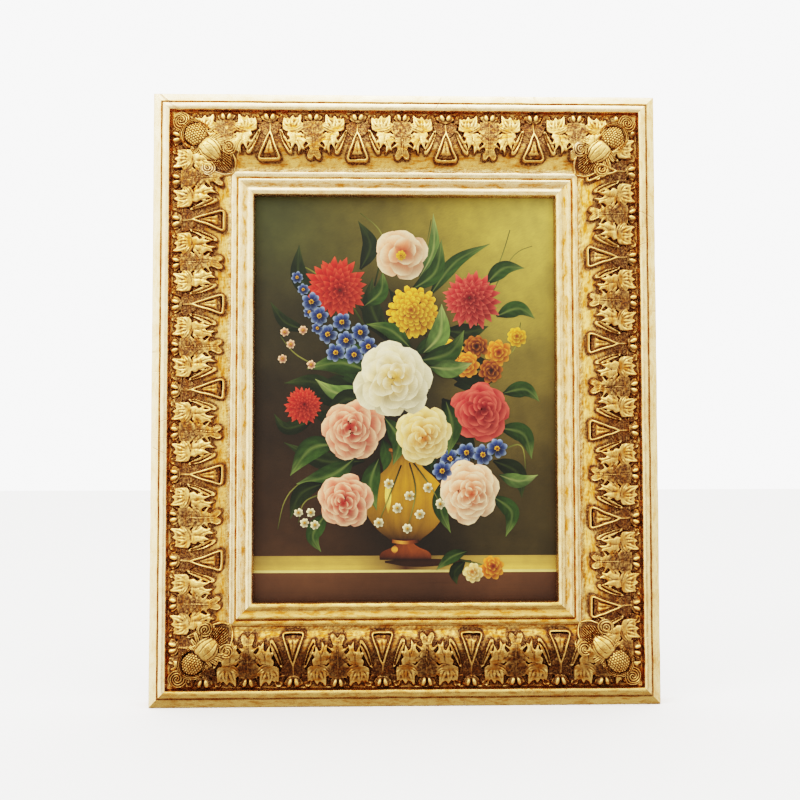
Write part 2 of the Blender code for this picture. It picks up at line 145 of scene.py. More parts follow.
def blurred(values, reach):
    # A box blur of a grid of values, twice each way
    for _ in range(2):
        for axis in (0, 1):
            padded = np.concatenate([
                np.repeat(np.take(values, [0], axis), reach + 1, axis), values,
                np.repeat(np.take(values, [-1], axis), reach, axis),
            ], axis)
            sums = np.cumsum(padded, axis)
            width = 2 * reach + 1
            upper = np.take(sums, range(width, sums.shape[axis]), axis)
            lower = np.take(sums, range(0, sums.shape[axis] - width), axis)
            values = (upper - lower) / width
    return values


def softLine(points, steps=5):
    # A smooth line through the points
    ends = [points[0]] + list(points) + [points[-1]]
    line = []
    for a, b, c, d in zip(ends, ends[1:], ends[2:], ends[3:]):
        for step in range(steps):
            t = step / steps
            line.append(tuple(
                0.5 * (2 * q + (r - p) * t + (2 * p - 5 * q + 4 * r - s) * t * t
                       + (3 * q - p - 3 * r + s) * t**3)
                for p, q, r, s in zip(a, b, c, d)
            ))
    return line + [tuple(points[-1])]


# Carving is pressed into a field, as a rise and a gilt brightness over x and y in millimetres

farAway = 99.0  # further than any line
noRise = -9.0  # lower than anything that is pressed


def newField(x, y):
    return {"x": x, "y": y, "rise": np.zeros_like(x), "bright": np.zeros_like(x)}


def nearLine(field, line, margin):
    xs, ys = [p[0] for p in line], [p[1] for p in line]
    return np.nonzero(
        (field["x"] > min(xs) - margin) & (field["x"] < max(xs) + margin)
        & (field["y"] > min(ys) - margin) & (field["y"] < max(ys) + margin)
    )


def segmentGap(x, y, start, end, length):
    # How far each point is from a segment, and where along it
    (x0, y0), (x1, y1) = start, end
    along = np.clip(((x - x0) * (x1 - x0) + (y - y0) * (y1 - y0)) / length**2, 0, 1)
    return np.hypot(x - x0 - along * (x1 - x0), y - y0 - along * (y1 - y0)), along


def lineDistance(x, y, line):
    best, share = np.full(x.shape, farAway), np.zeros(x.shape)
    lengths = [math.dist(a, b) for a, b in zip(line, line[1:])]
    total = sum(lengths) or 1
    done = 0
    for start, end, length in zip(line, line[1:], lengths):
        if length < 1e-6:
            continue
        gap, along = segmentGap(x, y, start, end, length)
        nearer = gap < best
        best[nearer] = gap[nearer]
        share[nearer] = (done + along[nearer] * length) / total
        done += length
    return best, share


def insideDistance(x, y, outline):
    # Above 0 inside the outline, below 0 outside
    inside, best = np.zeros(x.shape, bool), np.full(x.shape, farAway)
    for start, end in zip(outline, outline[1:] + outline[:1]):
        length = math.dist(start, end)
        if length < 1e-6:
            continue
        best = np.minimum(best, segmentGap(x, y, start, end, length)[0])
        (x0, y0), (x1, y1) = start, end
        if y0 != y1:
            inside ^= ((y0 > y) != (y1 > y)) & (x < (x1 - x0) * (y - y0) / (y1 - y0) + x0)
    return np.where(inside, best, -best)


def keepHigher(field, where, rise, bright):
    higher = rise > field["rise"][where]
    spots = tuple(axis[higher] for axis in where)
    field["rise"][spots] = rise[higher]
    field["bright"][spots] = bright[higher] if isinstance(bright, np.ndarray) else bright


def pressStroke(field, line, widths, rises, bright=0.6, flat=0.0, groove=0.0):
    # A rounded bar along a line: half widths and rises are spread evenly along it
    where = nearLine(field, line, max(widths))
    gap, share = lineDistance(field["x"][where], field["y"][where], line)
    half = np.interp(share, np.linspace(0, 1, len(widths)), widths)
    top = np.interp(share, np.linspace(0, 1, len(rises)), rises)
    across = gap / half
    shape = np.sqrt(np.clip(1 - across**2, 0, 1)) * (1 - flat) + eased(2.5 * (1 - across)) * flat
    shape -= groove * eased(1 - across * 2.2)
    rise = np.where(across < 1, top * shape, noRise)
    keepHigher(field, where, rise, bright)


def pressShape(field, outline, rise, edge, crown=0.0, bright=0.4, rim=0.0):
    # A raised shape with a rounded border, which can be crowned or rimmed
    where = nearLine(field, outline, 0.5)
    inside = insideDistance(field["x"][where], field["y"][where], outline)
    height = rise * eased(inside / edge + 0.15)
    border = np.exp(-((inside - 0.8) / 0.6)**2)
    height += crown * eased(inside / (3.2 * edge)) + rim * border
    height = np.where(inside > 0, height, noRise)
    # The rim is also painted brighter, a painted highlight along the border
    keepHigher(field, where, height, np.minimum(bright + 0.7 * rim * border, 1))


def pressDome(field, centre, radii, turn, rise, bright=0.9, foot=0.0):
    # An ellipsoid boss
    where = nearLine(field, [centre], max(radii))
    x, y = field["x"][where] - centre[0], field["y"][where] - centre[1]
    c, s = math.cos(math.radians(turn)), math.sin(math.radians(turn))
    r = np.hypot((x * c + y * s) / radii[0], (y * c - x * s) / radii[1])
    height = np.where(r < 1, foot + rise * np.sqrt(np.clip(1 - r * r, 0, 1)), noRise)
    keepHigher(field, where, height, bright)


def cut(field, line, half, depth, dull=0.0):
    # A tooled groove
    where = nearLine(field, line, half)
    gap, _ = lineDistance(field["x"][where], field["y"][where], line)
    amount = eased(1 - gap / half)
    field["rise"][where] -= depth * amount
    field["bright"][where] *= 1 - dull * amount


# The moulding's face: inset from the outer edge and height above the back, in millimetres

moulding = {
    "edge": [(0, 0), (0, 33.0), (0.12, 33.6), (0.5, 34.0), (1.2, 34.25)],
    "bands": [
        (4.0, 34.95), (6.9, 35.7), (7.4, 35.75), (7.7, 35.3), (8.0, 34.7), (8.3, 34.6), (8.6, 35.0),
        (8.9, 35.7), (9.4, 36.15), (10.6, 36.75), (12.2, 37.05), (13.8, 36.9), (15.0, 36.4), (15.6, 35.8),
        (15.9, 34.9), (16.2, 32.9), (16.7, 31.2), (17.4, 30.4), (18.1, 30.1),
    ],
    "inner": [
        (74.0, 28.9), (74.5, 29.4), (75.1, 29.8), (76.0, 30.0), (77.6, 29.9), (79.2, 29.5), (79.8, 29.2),
        (80.2, 28.5), (80.6, 28.3), (81.0, 28.6),
    ],
    "cushion": [
        (81.5, 29.4), (82.3, 29.8), (83.4, 29.8), (84.8, 29.4), (86.2, 28.7), (87.6, 28.0), (89.0, 27.6),
        (90.2, 27.5), (91.0, 27.8), (91.8, 28.2), (92.9, 28.3), (94.4, 27.9), (95.6, 27.1), (96.4, 26.0),
        (96.9, 24.4), (97, 22.8),
    ],
    "rebate": [(97, 17.4), (96.6, 17), (90, 17), (90, 0)],
    "field": {"start": 18.1, "end": 70.4, "floor": 30.2, "rise": 7.5, "lean": 1.6, "friezeDrop": 1.2,
              "friezeEnd": 79.6},
    "underCarving": 1.8,
    "cuts": 12,  # in each of two rounds
    "lengthwise": 0.9,
    "mitreGap": 0.06,
    "spare": 2,  # past the mitre, before it is cut
    "faceFrom": 15,
    "rebateFrom": (89, 17.2),  # inset and height
    "bend": {"long": 0.16, "short": 0.05, "sideways": 0.12},
}


def fieldHeight(inset):
    # The plain hump that the carving stands on, and the frieze inside it
    part = moulding["field"]
    share = np.clip((inset - part["start"]) / (part["end"] - part["start"]), 0, 1)
    hump = part["floor"] + part["rise"] * np.sin(math.pi * share**part["lean"])
    frieze = np.clip((inset - part["end"]) / (part["friezeEnd"] - part["end"]), 0, 1)
    return hump - part["friezeDrop"] * frieze


def mouldingProfile():
    line = moulding["edge"] + moulding["bands"]
    for inset in (19.2, 22, 26, 31, 36, 41, 46, 51, 56, 61, 66, 70.4, 73.6):
        line.append((inset, float(fieldHeight(inset)) - moulding["underCarving"]))
    return line + moulding["inner"] + moulding["cushion"] + moulding["rebate"]


# The last two values paint light and shade by side: the first scales how bright the rail's gilt is painted,
# the top lightest and the bottom darkest, and the second adds painted shade as glaze and stain on the darker
# rails
rails = {
    "top": {"side": (0, 1), "turn": 0, "length": 488, "pitch": 42.8, "loopAt": 39.2, "reach": 0.893,
            "seed": 11, "leaf": 1.0, "sideLight": 0.0},
    "left": {"side": (-1, 0), "turn": 90, "length": 589, "pitch": 40.8, "loopAt": 7.0, "reach": 0.955,
             "seed": 23, "leaf": 0.97, "sideLight": 0.2},
    "bottom": {"side": (0, -1), "turn": 180, "length": 488, "pitch": 42.5, "loopAt": 22.75, "reach": 0.978,
               "seed": 37, "leaf": 0.52, "sideLight": 1.0},
    "right": {"side": (1, 0), "turn": -90, "length": 589, "pitch": 42.15, "loopAt": 32.7, "reach": 0.92,
              "seed": 41, "leaf": 0.84, "sideLight": 0.35},
}


def edgeMatrix(place):
    # From the plane of a rail or a corner to the frame
    across, up = place["side"]
    edge = Vector((across * wholeFrame["width"] / 2, up * wholeFrame["height"] / 2, 0))
    return easel @ Matrix.Translation(edge) @ Matrix.Rotation(math.radians(place["turn"]), 4, "Z")


# Where the glaze and the darkening lie across the moulding, darker in the grooves and at the steps: inset,
# darkening, glaze
mouldingTone = [
    (0, 0.1, 0.3), (0.8, 0, 0.02), (6.8, 0, 0.1), (7.5, 0.15, 0.6), (8.1, 0.7, 1), (8.8, 0.1, 0.5),
    (9.6, 0, 0.04), (14.6, 0, 0.12), (15.8, 0.05, 0.6), (16.4, 0.15, 1), (18.5, 0.3, 1), (73.4, 0, 0.5),
    (74.4, 0, 0.3), (75.4, 0, 0.06), (79.4, 0, 0.05), (80.0, 0.15, 0.7), (80.6, 0.2, 0.9), (81.2, 0, 0.4),
    (82.2, 0, 0.06), (84.2, 0, 0.12), (86.0, 0.04, 0.65), (88.4, 0.08, 0.85), (90.0, 0.04, 0.6),
    (91.2, 0, 0.15), (94.8, 0, 0.05), (96.2, 0, 0.3), (97, 0.2, 0.8),
]


def makeMoulding(word, rail):
    profile = mouldingProfile()
    length = rail["length"]
    deselectAll()
    bpy.ops.mesh.primitive_circle_add(vertices=len(profile), radius=0.05, fill_type="NGON")
    piece = newPiece(f"gilt_moulding_{word}")
    start = -(length / 2 + moulding["spare"]) * milli
    places = [(start, -inset * milli, height * milli) for inset, height in profile]
    setCoordinates(piece.data, places)
    bpy.ops.object.mode_set(mode="EDIT")
    bpy.ops.mesh.select_all(action="SELECT")
    bpy.ops.mesh.extrude_region_move(TRANSFORM_OT_translate={"value": (-2 * start, 0, 0)})
    for end in (-1, 1):
        bpy.ops.mesh.select_all(action="SELECT")
        normal = Vector((end, -1, 0)).normalized()
        corner = Vector((end * length / 2 * milli, 0, 0)) - normal * moulding["mitreGap"] / 2 * milli
        bpy.ops.mesh.bisect(plane_co=corner, plane_no=normal, use_fill=True, clear_outer=True, threshold=1e-6)
    turnOutwards()
    # Cut along the length alone, in two rounds because one makes at most 100 cuts
    bpy.ops.mesh.select_mode(type="EDGE")
    for _ in range(2):
        bpy.ops.mesh.select_all(action="DESELECT")
        bpy.ops.object.mode_set(mode="OBJECT")
        for edge in piece.data.edges:
            a, b = (piece.data.vertices[number].co for number in edge.vertices)
            edge.select = abs(a.x - b.x) > moulding["lengthwise"] * (a - b).length
        bpy.ops.object.mode_set(mode="EDIT")
        bpy.ops.mesh.subdivide(number_cuts=moulding["cuts"])
    bpy.ops.mesh.select_mode(type="VERT")
    bpy.ops.object.mode_set(mode="OBJECT")

    mesh = piece.data
    local = coordinatesOf(mesh) / milli
    x, inset, height = local[:, 0], -local[:, 1], local[:, 2]
    tone = np.array(mouldingTone)
    face = height > moulding["faceFrom"]
    side = (inset < 0.1) & (height < 33.5)
    stainAndShade = np.where(face, np.interp(inset, tone[:, 0], tone[:, 1]), 0.1)
    glaze = np.where(face & ~side, np.interp(inset, tone[:, 0], tone[:, 2]), 0.4)
    # More glaze round the frieze on the darker rails, painted shade by side
    glaze = np.clip(glaze + rail["sideLight"] * 0.6 * eased((inset - 66) / 6) * eased((84 - inset) / 4), 0, 1)
    # The alpha is the rail's painted light by side
    writeColour(mesh, "finishAndLight", stainAndShade, np.zeros_like(x), glaze, rail["leaf"])
    writeVector(mesh, "rail", np.stack([x + rail["seed"] * 7, inset, height], axis=1) * milli)
    # Bare wood at the back and in the rebate
    mesh.materials.append(giltMaterial)
    mesh.materials.append(bareWood)
    centres, normals = np.empty(len(mesh.polygons) * 3), np.empty(len(mesh.polygons) * 3)
    mesh.polygons.foreach_get("center", centres)
    mesh.polygons.foreach_get("normal", normals)
    centres, normals = centres.reshape(-1, 3) / milli, normals.reshape(-1, 3)
    fromInset, under = moulding["rebateFrom"]
    rebate = (-centres[:, 1] > fromInset) & (centres[:, 2] < under) & (np.abs(normals[:, 0]) < 0.5)
    mesh.polygons.foreach_set("material_index", ((normals[:, 2] < -0.5) | rebate).astype(np.int32))
    # Hand laid gesso is never quite straight
    seed, bend = rail["seed"], moulding["bend"]
    weights = eased((length / 2 - inset - np.abs(x)) / 12) * eased((height - 12) / 14)
    lift = bend["long"] * waves(x, inset, 55, seed + 20) + bend["short"] * waves(x, inset, 12, seed + 21)
    local[:, 2] += weights * lift
    local[:, 1] += weights * bend["sideways"] * waves(x, height, 40, seed + 22)
    setCoordinates(mesh, local * milli)
    mesh.transform(edgeMatrix(rail))
    takeUp(piece)
    bpy.ops.object.shade_smooth_by_angle(angle=math.radians(38))
    finishPiece(piece, f"{word}_rail")


# The carved strip of each rail. x runs from a loop's middle and y is the inset, both in millimetres

strip = {
    "start": 17.5,
    "end": 74.5,
    "cell": 0.56,
    "pitch": 42.5,
    "skirt": 4.0,
    "drawnFrom": 19.5,
    "laidFrom": 18.4,
    "sideLightShare": 0.75,  # the carving takes less of the painted light and shade by side than the bands
    "folds": {"reach": 5, "near": 0.5, "far": 1.1, "foot": 1.1},
}

loopShapes = {
    "ground": [(-1, 28), (8.4, 28), (11.8, 30.5), (12.6, 34), (10.6, 38.4), (8.4, 42), (5.4, 46), (-1, 47)],
    "stem": [(0, 30.5), (0, 42)],
    "leg": [(0.1, 40.8), (2.6, 48), (5.2, 57), (8.4, 66), (9.4, 69.4), (9.0, 71.0), (7.2, 71.7), (0, 71.9)],
    "panel": [(-1, 44), (1.8, 47.5), (4.8, 57), (8, 68), (7.8, 70), (-1, 70.4)],
    "cushion": [(-1, 49.4), (1.0, 49.8), (2.6, 53), (4.6, 59.6), (6.2, 65), (5.8, 66.4), (-1, 66.6)],
    "frond": [(8.8, 36.5), (9.6, 43), (11.6, 50.5), (14.0, 57.6), (16.8, 63.8), (19.6, 66.2),
              (22.0, 64.4), (21.0, 58.2), (18.4, 51.4), (15.2, 45), (12.4, 39)],
    "frondCut": [(11, 41), (13.6, 49), (17.2, 57.6), (19.6, 61.6)],
    "curlBody": [(6.4, 29.6), (9.6, 30.6), (13.2, 28.8), (16.2, 25), (16.8, 21.6), (14.2, 19.7),
                 (10.6, 20), (8.6, 23)],
    "curl": [(8.4, 30.2), (11.6, 29.8), (14.6, 27), (16.6, 23.6), (16.0, 20.8), (13.4, 19.6),
             (11.0, 20.8), (11.6, 23.2), (13.4, 23.4)],
}
leafShapes = {
    "body": [(-1, 27.3), (9.4, 28), (10.4, 33), (10.7, 38.8), (9.2, 42.8), (12.8, 45.8), (8.4, 47.2),
             (7.6, 49.2), (12.2, 53.2), (7.4, 53.2), (6.4, 55), (10.4, 59.6), (5.7, 58.4), (4.8, 61),
             (6.1, 63.4), (7.5, 66.8), (6.9, 70.2), (4.4, 71.6), (2, 70.6), (0, 67.9), (-1, 68)],
    "head": [(-1, 60), (4.6, 60.6), (6.0, 63.4), (7.3, 66.8), (6.7, 70), (4.4, 71.3), (2.1, 70.3),
             (0.2, 67.6), (-1, 67.8)],
    "rib": [(0, 31), (0, 64.5)],
    "veins": [[(0.6, 38.5), (6, 42.5), (12.0, 45.6)], [(0.6, 44.5), (6, 49.2), (11.6, 52.9)],
              [(0.6, 51), (5, 55.4), (9.8, 59.2)]],
}
tipShapes = {
    "body": [(12.6, 38.4), (11.9, 33), (12.4, 28), (13.2, 22.6), (15.8, 25.2), (17.4, 23.4), (19.2, 25),
             (22.4, 20.2), (24.8, 24), (27, 23), (30.9, 18.7), (31.6, 24), (31.2, 28.4), (34.8, 31.6),
             (32.4, 36.4), (27, 39.8), (21, 41.4), (16, 40.8)],
    "lobes": [([(20, 38), (15.4, 32), (14.4, 25.6)], 3.9), ([(22, 39), (20.8, 31), (21.8, 23.8)], 4.2),
              ([(24, 39), (28, 30), (30, 21.8)], 4.4), ([(25, 38), (29.6, 35), (33, 33)], 3.2)],
    "leaves": [
        [(18.0, 40), (16.6, 45), (18.6, 48.6), (17.4, 53.6), (20.4, 55.4), (20.8, 61.6), (23.8, 57.4),
         (25.8, 52), (25.6, 42)],
        [(24.0, 42), (25.0, 49), (23.8, 54.4), (26.2, 57.4), (26.8, 66.2), (30.2, 61.2), (33.4, 62.4),
         (32.4, 56.4), (34.4, 53), (31.6, 47.4), (29.4, 42)],
        [(27.6, 42), (30.8, 47.6), (33.4, 54.2), (35.4, 50.2), (34.2, 45.6), (31.4, 41)],
        [(30.4, 39.4), (34.2, 43.6), (38.2, 47.4), (37.4, 42.8), (34.4, 38.4)],
    ],
    "fold": [(18.6, 42.6), (24, 44.0), (29.6, 41.6), (34.4, 37.6), (34.6, 33.0), (31.0, 35.6),
             (26.4, 38.8), (21, 40.4)],
}

bud = {
    "middle": 21.4,
    "rim": (8.1, 8.0, 1.5),
    "collar": (6.4, 6.3, 1.6),
    "lobe": (3.0, 23.2),
    "radii": (2.85, 5.2),
    "lean": 15,
    "rise": 5.4,
}


def mirrored(line, about):
    return [(about - x, y) for x, y in line]


def pressBud(field, about, side):
    # Two lobes under a dark collar. side is the way that x runs from the bud's middle
    def arc(wide, high, end):
        turns = np.linspace(-0.3, end, 12)
        return [(about + side * (wide * math.sin(t)), bud["middle"] + high * math.cos(t)) for t in turns]
    pressStroke(field, arc(*bud["rim"]), [0.9, 0.7], [3.3, 2.4], bright=0.55)
    pressStroke(field, arc(*bud["collar"]), [1.9, 1.7, 1.3], [3.0, 2.8, 2.2], bright=0.0)
    lobe = (about + side * bud["lobe"][0], bud["lobe"][1])
    pressDome(field, lobe, bud["radii"], side * bud["lean"], bud["rise"], bright=1.0)


def makeCarving(field):
    pitch = strip["pitch"]
    # The loop, at x = 0
    pressShape(field, loopShapes["ground"], 1.3, 1.2, bright=0.0)
    pressShape(field, softLine(loopShapes["frond"], 3), 1.6, 0.8, crown=1.5, bright=0.3, rim=1.2)
    cut(field, softLine(loopShapes["frondCut"]), 1.2, 1.7, dull=0.8)
    pressShape(field, softLine(loopShapes["curlBody"], 2), 1.2, 1.0, bright=0.0)
    pressStroke(field, softLine(loopShapes["curl"]), [0.8, 0.8, 0.6], [2.4, 2.8, 2.2], bright=0.55)
    pressShape(field, loopShapes["panel"], 1.4, 0.8, bright=0.05)
    pressShape(field, softLine(loopShapes["cushion"], 3), 1.6, 1.3, crown=1.6, bright=0.6)
    pressStroke(field, loopShapes["stem"], [0.9, 1.4], [2.4, 3.4], bright=0.55)
    pressStroke(field, softLine(loopShapes["leg"]), [1.3, 1.45, 1.5], [3.5, 4.4, 4.8, 4.5],
                bright=0.85, flat=0.35)
    pressBud(field, 0, 1)
    # The leaf, at the end of the pitch
    pressShape(field, mirrored(leafShapes["body"], pitch), 2.2, 0.9, crown=1.3, bright=0.08, rim=0.9)
    for vein in leafShapes["veins"]:
        pressStroke(field, mirrored(vein, pitch), [1.2, 1.5, 0.9], [2.4, 4.4, 3.1], bright=0.6, groove=0.2)
    head = softLine(mirrored(leafShapes["head"], pitch), 3)
    pressShape(field, head, 2.3, 0.7, crown=0.5, bright=0.05, rim=1.4)
    pressStroke(field, mirrored(leafShapes["rib"], pitch), [0.75, 0.8, 0.65], [3.4, 4.6, 3.9], bright=0.6)
    pressBud(field, pitch, -1)
    # The leaf tip that curls over between them, and the leaves that it grows from
    for number, outline in enumerate(tipShapes["leaves"]):
        closed = softLine(outline + outline[:1], 3)
        pressShape(field, closed, 2.9 - 0.3 * number, 0.8, crown=1.6, bright=0.6, rim=0.6)
        foot, tip = outline[0], outline[len(outline) // 2]
        cut(field, [((foot[0] + tip[0]) / 2, (foot[1] + tip[1]) / 2), tip], 0.9, 0.7, 0.4)
    pressShape(field, softLine(tipShapes["fold"], 2), 3.0, 0.9, crown=1.0, bright=0.45)
    pressShape(field, tipShapes["body"], 3.6, 0.8, bright=0.6)
    for line, half in tipShapes["lobes"]:
        pressStroke(field, softLine(line), [half * 0.7, half, half * 0.4], [3.3, 5.1, 4.0],
                    bright=0.9, flat=0.2, groove=0.26)


def foldsOf(rise, folds):
    # Where the carving lies hollow, and the foot of every raised edge, for painted shade in the creases and
    # along each motif's foot
    near, far = blurred(rise, 2), blurred(rise, folds["reach"])
    hollowShade = np.clip((near - rise) / folds["near"], 0, 1) + np.clip((far - rise) / folds["far"], 0, 1)
    foot = np.clip((highestNear(rise, 2) - rise - 0.7) / folds["foot"], 0, 1)
    return near, far, hollowShade, foot


def makeCarvedPiece(name, node, place, x, y, height, base, marks, leaf):
    # A grid over x and y is lifted to the height and closed by a skirt down to the base
    rows, columns = height.shape[0] - 1, height.shape[1] - 1
    deselectAll()
    bpy.ops.mesh.primitive_grid_add(x_subdivisions=columns, y_subdivisions=rows, size=2)
    piece = newPiece(name)
    bpy.ops.object.mode_set(mode="EDIT")
    bpy.ops.mesh.select_all(action="SELECT")
    bpy.ops.mesh.region_to_loop()
    bpy.ops.mesh.extrude_region_move(TRANSFORM_OT_translate={"value": (0, 0, -1)})
    bpy.ops.mesh.extrude_region_move(TRANSFORM_OT_translate={"value": (0, 0, 0)})
    bpy.ops.mesh.merge(type="CENTER")
    bpy.ops.object.mode_set(mode="OBJECT")
    mesh = piece.data
    unit = coordinatesOf(mesh)
    column = np.rint((unit[:, 0] + 1) / 2 * columns).astype(int)
    row = np.rint((unit[:, 1] + 1) / 2 * rows).astype(int)
    z = np.where(unit[:, 2] < -0.5, base[row, column], height[row, column])
    local = np.stack([x[row, column], y[row, column], z], axis=1)
    setCoordinates(mesh, local * milli)
    # The alpha carries the piece's painted light by side
    writeColour(mesh, "finishAndLight", *(mark[row, column] for mark in marks), leaf)
    writeVector(mesh, "rail", np.stack([local[:, 0] + place["seed"] * 7, -local[:, 1], z], axis=1) * milli)
    mesh.materials.append(giltMaterial)
    takeUp(piece)
    bpy.ops.object.mode_set(mode="EDIT")
    turnOutwards()
    bpy.ops.object.mode_set(mode="OBJECT")
    bpy.ops.object.shade_smooth_by_angle(angle=math.radians(70))
    mesh.transform(edgeMatrix(place))
    finishPiece(piece, node)


def makeStrip(word, rail):
    length, start, end = rail["length"], strip["start"], strip["end"]
    columns = int((length - start - end) / strip["cell"])
    rows = int((end - start) / strip["cell"])
    across, down = np.meshgrid(np.linspace(-1, 1, columns + 1), np.linspace(0, 1, rows + 1))
    inset = start + (end - start) * down
    reach = length / 2 - inset - moulding["mitreGap"]
    x = across * reach

    # Each strip was pressed from one mould, and then laid and trimmed by hand
    seed = rail["seed"]
    laidX = x + 0.45 * waves(x, inset, 60, seed) + 0.18 * waves(x, inset, 14, seed + 1)
    laidY = inset + 0.3 * waves(x, inset, 70, seed + 2) + 0.15 * waves(x, inset, 12, seed + 3)
    laidY = strip["drawnFrom"] + (laidY - strip["laidFrom"]) / rail["reach"]
    scaled = (laidX - rail["loopAt"]) * strip["pitch"] / rail["pitch"]
    folded = np.abs((scaled + strip["pitch"]) % (2 * strip["pitch"]) - strip["pitch"])
    field = newField(folded, laidY)
    makeCarving(field)
    rise = field["rise"] * (1 + 0.07 * waves(x, inset, 50, seed + 4))
    border = eased((inset - start) / 1.2) * eased((end - 0.4 - inset) / 1.2)
    offMitre = (reach - np.abs(x)) / math.sqrt(2)
    cover = eased((offMitre - 5) / 6)
    rise = rise * border * cover - 0.5 * (1 - cover)
    rise += 0.05 * waves(x, inset, 3.1, seed + 5) + 0.05 * waves(x, inset, 6.7, seed + 6)

    _, far, hollowShade, foot = foldsOf(rise, strip["folds"])
    bright = blurred(field["bright"] * border, 1)
    # High points go lighter: rubbed toning and a painted highlight
    rubAndHighlight = np.clip((rise - far) / 1.7, 0, 1) * (0.25 + 0.75 * bright)
    belt = eased((laidY - 23) / 4) * eased((57 - laidY) / 9)
    patchy = 0.5 + 0.5 * waves(x, inset, 9, seed + 7)
    fleck = 0.5 + 0.5 * waves(x, inset, 4, seed + 8, 14)
    stainAndShade = belt * (1 - bright) * (0.75 + 0.25 * patchy + 0.35 * fleck)
    # Painted shade: darker in the hollows and along the foot of every raised edge, added to the stain
    stainAndShade = stainAndShade + 0.85 * hollowShade + 0.9 * (foot * border)
    stainAndShade += 0.5 * (1 - bright) * (field["rise"] > 0.4) * eased((laidY - 50) / 5) * (0.5 + fleck)
    frieze = eased((laidY - 60) / 8)
    # More stain in the frieze on the darker rails, painted shade by side
    stainAndShade = np.clip(stainAndShade + 0.45 * rail["sideLight"] * frieze * fleck, 0, 1)
    # The brown glaze airbrushed round each motif's inner end, and in the gap before the bands
    ornament = blurred((field["rise"] * border > 0.7).astype(float), 5)
    halo = np.clip(2.2 * blurred(ornament, 5), 0, 1) * eased((laidY - 54) / 9)
    halo = np.maximum(halo, eased((24 - inset) / 5))
    carved = eased((72 - laidY) / 10)
    glaze = halo * (1 - 0.6 * bright)
    glaze += carved * (1.3 - 0.65 * bright + 0.5 * (patchy - 0.4)) * (1 - 0.5 * rubAndHighlight)
    # The frieze's glaze grows on the darker rails, painted shade by side
    plain = 0.25 + 0.5 * rail["sideLight"] + 0.35 * np.clip(patchy, 0, 1) + 0.25 * fleck
    glaze = np.clip(glaze + frieze * plain, 0, 1)
    # The carving takes the rail's painted light by side, weakened
    makeCarvedPiece(f"carved_strip_{word}", f"{word}_rail", rail, x, -inset,
                    fieldHeight(inset) + rise, fieldHeight(inset) - strip["skirt"], (stainAndShade, rubAndHighlight, glaze),
                    rail["leaf"]**strip["sideLightShare"])


# The corner ornaments. x runs along the mitre from the outer corner and y off it, in millimetres

corner = {
    "start": 27.0,
    "end": 111.0,
    "outline": [(27, 3), (29, 6.5), (33, 9), (38, 10.2), (43, 10), (46, 11.5), (51, 14.2), (58, 15.6),
                (64, 15), (69, 14.5), (73, 17.5), (79, 20.5), (86, 22.5), (93, 22.5), (99, 20.5),
                (103, 15), (107, 8.5), (111, 3)],
    "cell": 0.42,
    "rows": 96,
    "skirt": 5.0,
    "sunk": 2.5,
    "folds": {"reach": 6, "near": 0.35, "far": 1.2, "foot": 1.2},
    "rosette": {"at": 37.8, "radius": 9.2, "rise": 3.2, "coil": 2.35},
    "fruit": {"at": 58.0, "radius": 11.4, "rise": 7.2, "seed": 2.7},
    "collar": {"radius": 13.4, "half": 3.4, "rise": 5.2, "ribs": 1.7},
    "husk": {"at": 78.0, "radii": (13.5, 11.6), "rise": 6.4},
    # Line, half width, depth and dullness
    "huskCuts": [
        ([(93, 0.8), (87, 2.6), (79, 3.4), (73, 2.8)], 0.9, 0.5, 0.3),
        ([(91, 3.6), (86, 6.4), (79, 8.2), (72, 7.6)], 1.0, 0.7, 0.4),
    ],
    "ribs": {"from": 84.0, "to": 104.0, "fan": 58.0, "pitch": 0.047, "rise": 3.2},
    "scroll": {"at": (90.5, 14.4), "radius": 8.8, "rise": 5.4, "ribs": 2.3},
    "curl": {"at": (65.8, 12.6), "radius": 3.1, "rise": 4.6},
    "curlCut": [(65.8, 14.2), (67.2, 12.6), (65.8, 11.4), (64.9, 12.6)],
    # Lobes: line, half width and brightness
    "lobes": [
        ([(70, 7), (70, 13), (66.5, 16.5)], 2.2, 0.5), ([(73, 8), (75, 15), (73.5, 20)], 2.6, 0.6),
        ([(77, 9), (81, 16.5), (81.5, 22)], 2.8, 0.7), ([(82, 10), (88, 18.5), (91, 22.2)], 2.6, 0.7),
        ([(95, 17), (99.5, 18.2), (102, 15.4)], 2.2, 0.6),
    ],
    "plate": [(29, 0), (31, 5), (36, 7), (44, 8), (52, 11), (62, 12), (70, 11.5), (76, 14), (84, 18),
              (93, 19), (99, 16.5), (103.5, 10), (109.5, 0)],
    "plateRise": 1.6,
}
# The last value paints light by side: how bright each corner's gilt is painted, the lower corners darker
corners = {
    "top_left": {"side": (-1, 1), "turn": 0, "seed": 51, "leaf": 0.9},
    "top_right": {"side": (1, 1), "turn": -90, "seed": 67, "leaf": 0.84},
    "bottom_right": {"side": (1, -1), "turn": 180, "seed": 73, "leaf": 0.7},
    "bottom_left": {"side": (-1, -1), "turn": 90, "seed": 89, "leaf": 0.62},
}


def sided(line, side):
    return [(x, y * side) for x, y in line]


def pressRosette(field):
    part = corner["rosette"]
    where = nearLine(field, [(part["at"], 0)], part["radius"])
    x, y = field["x"][where] - part["at"], field["y"][where]
    r, angle = np.hypot(x, y), np.arctan2(y, x)
    dome = np.sqrt(np.clip(1 - (r / part["radius"])**2, 0, 1))
    coil = 0.5 + 0.5 * np.cos(math.tau * r / part["coil"] - angle * 2)
    rise = np.where(r < part["radius"], 1.8 + part["rise"] * dome + 1.3 * (coil - 0.5), noRise)
    keepHigher(field, where, rise, 0.1 + 0.7 * coil)


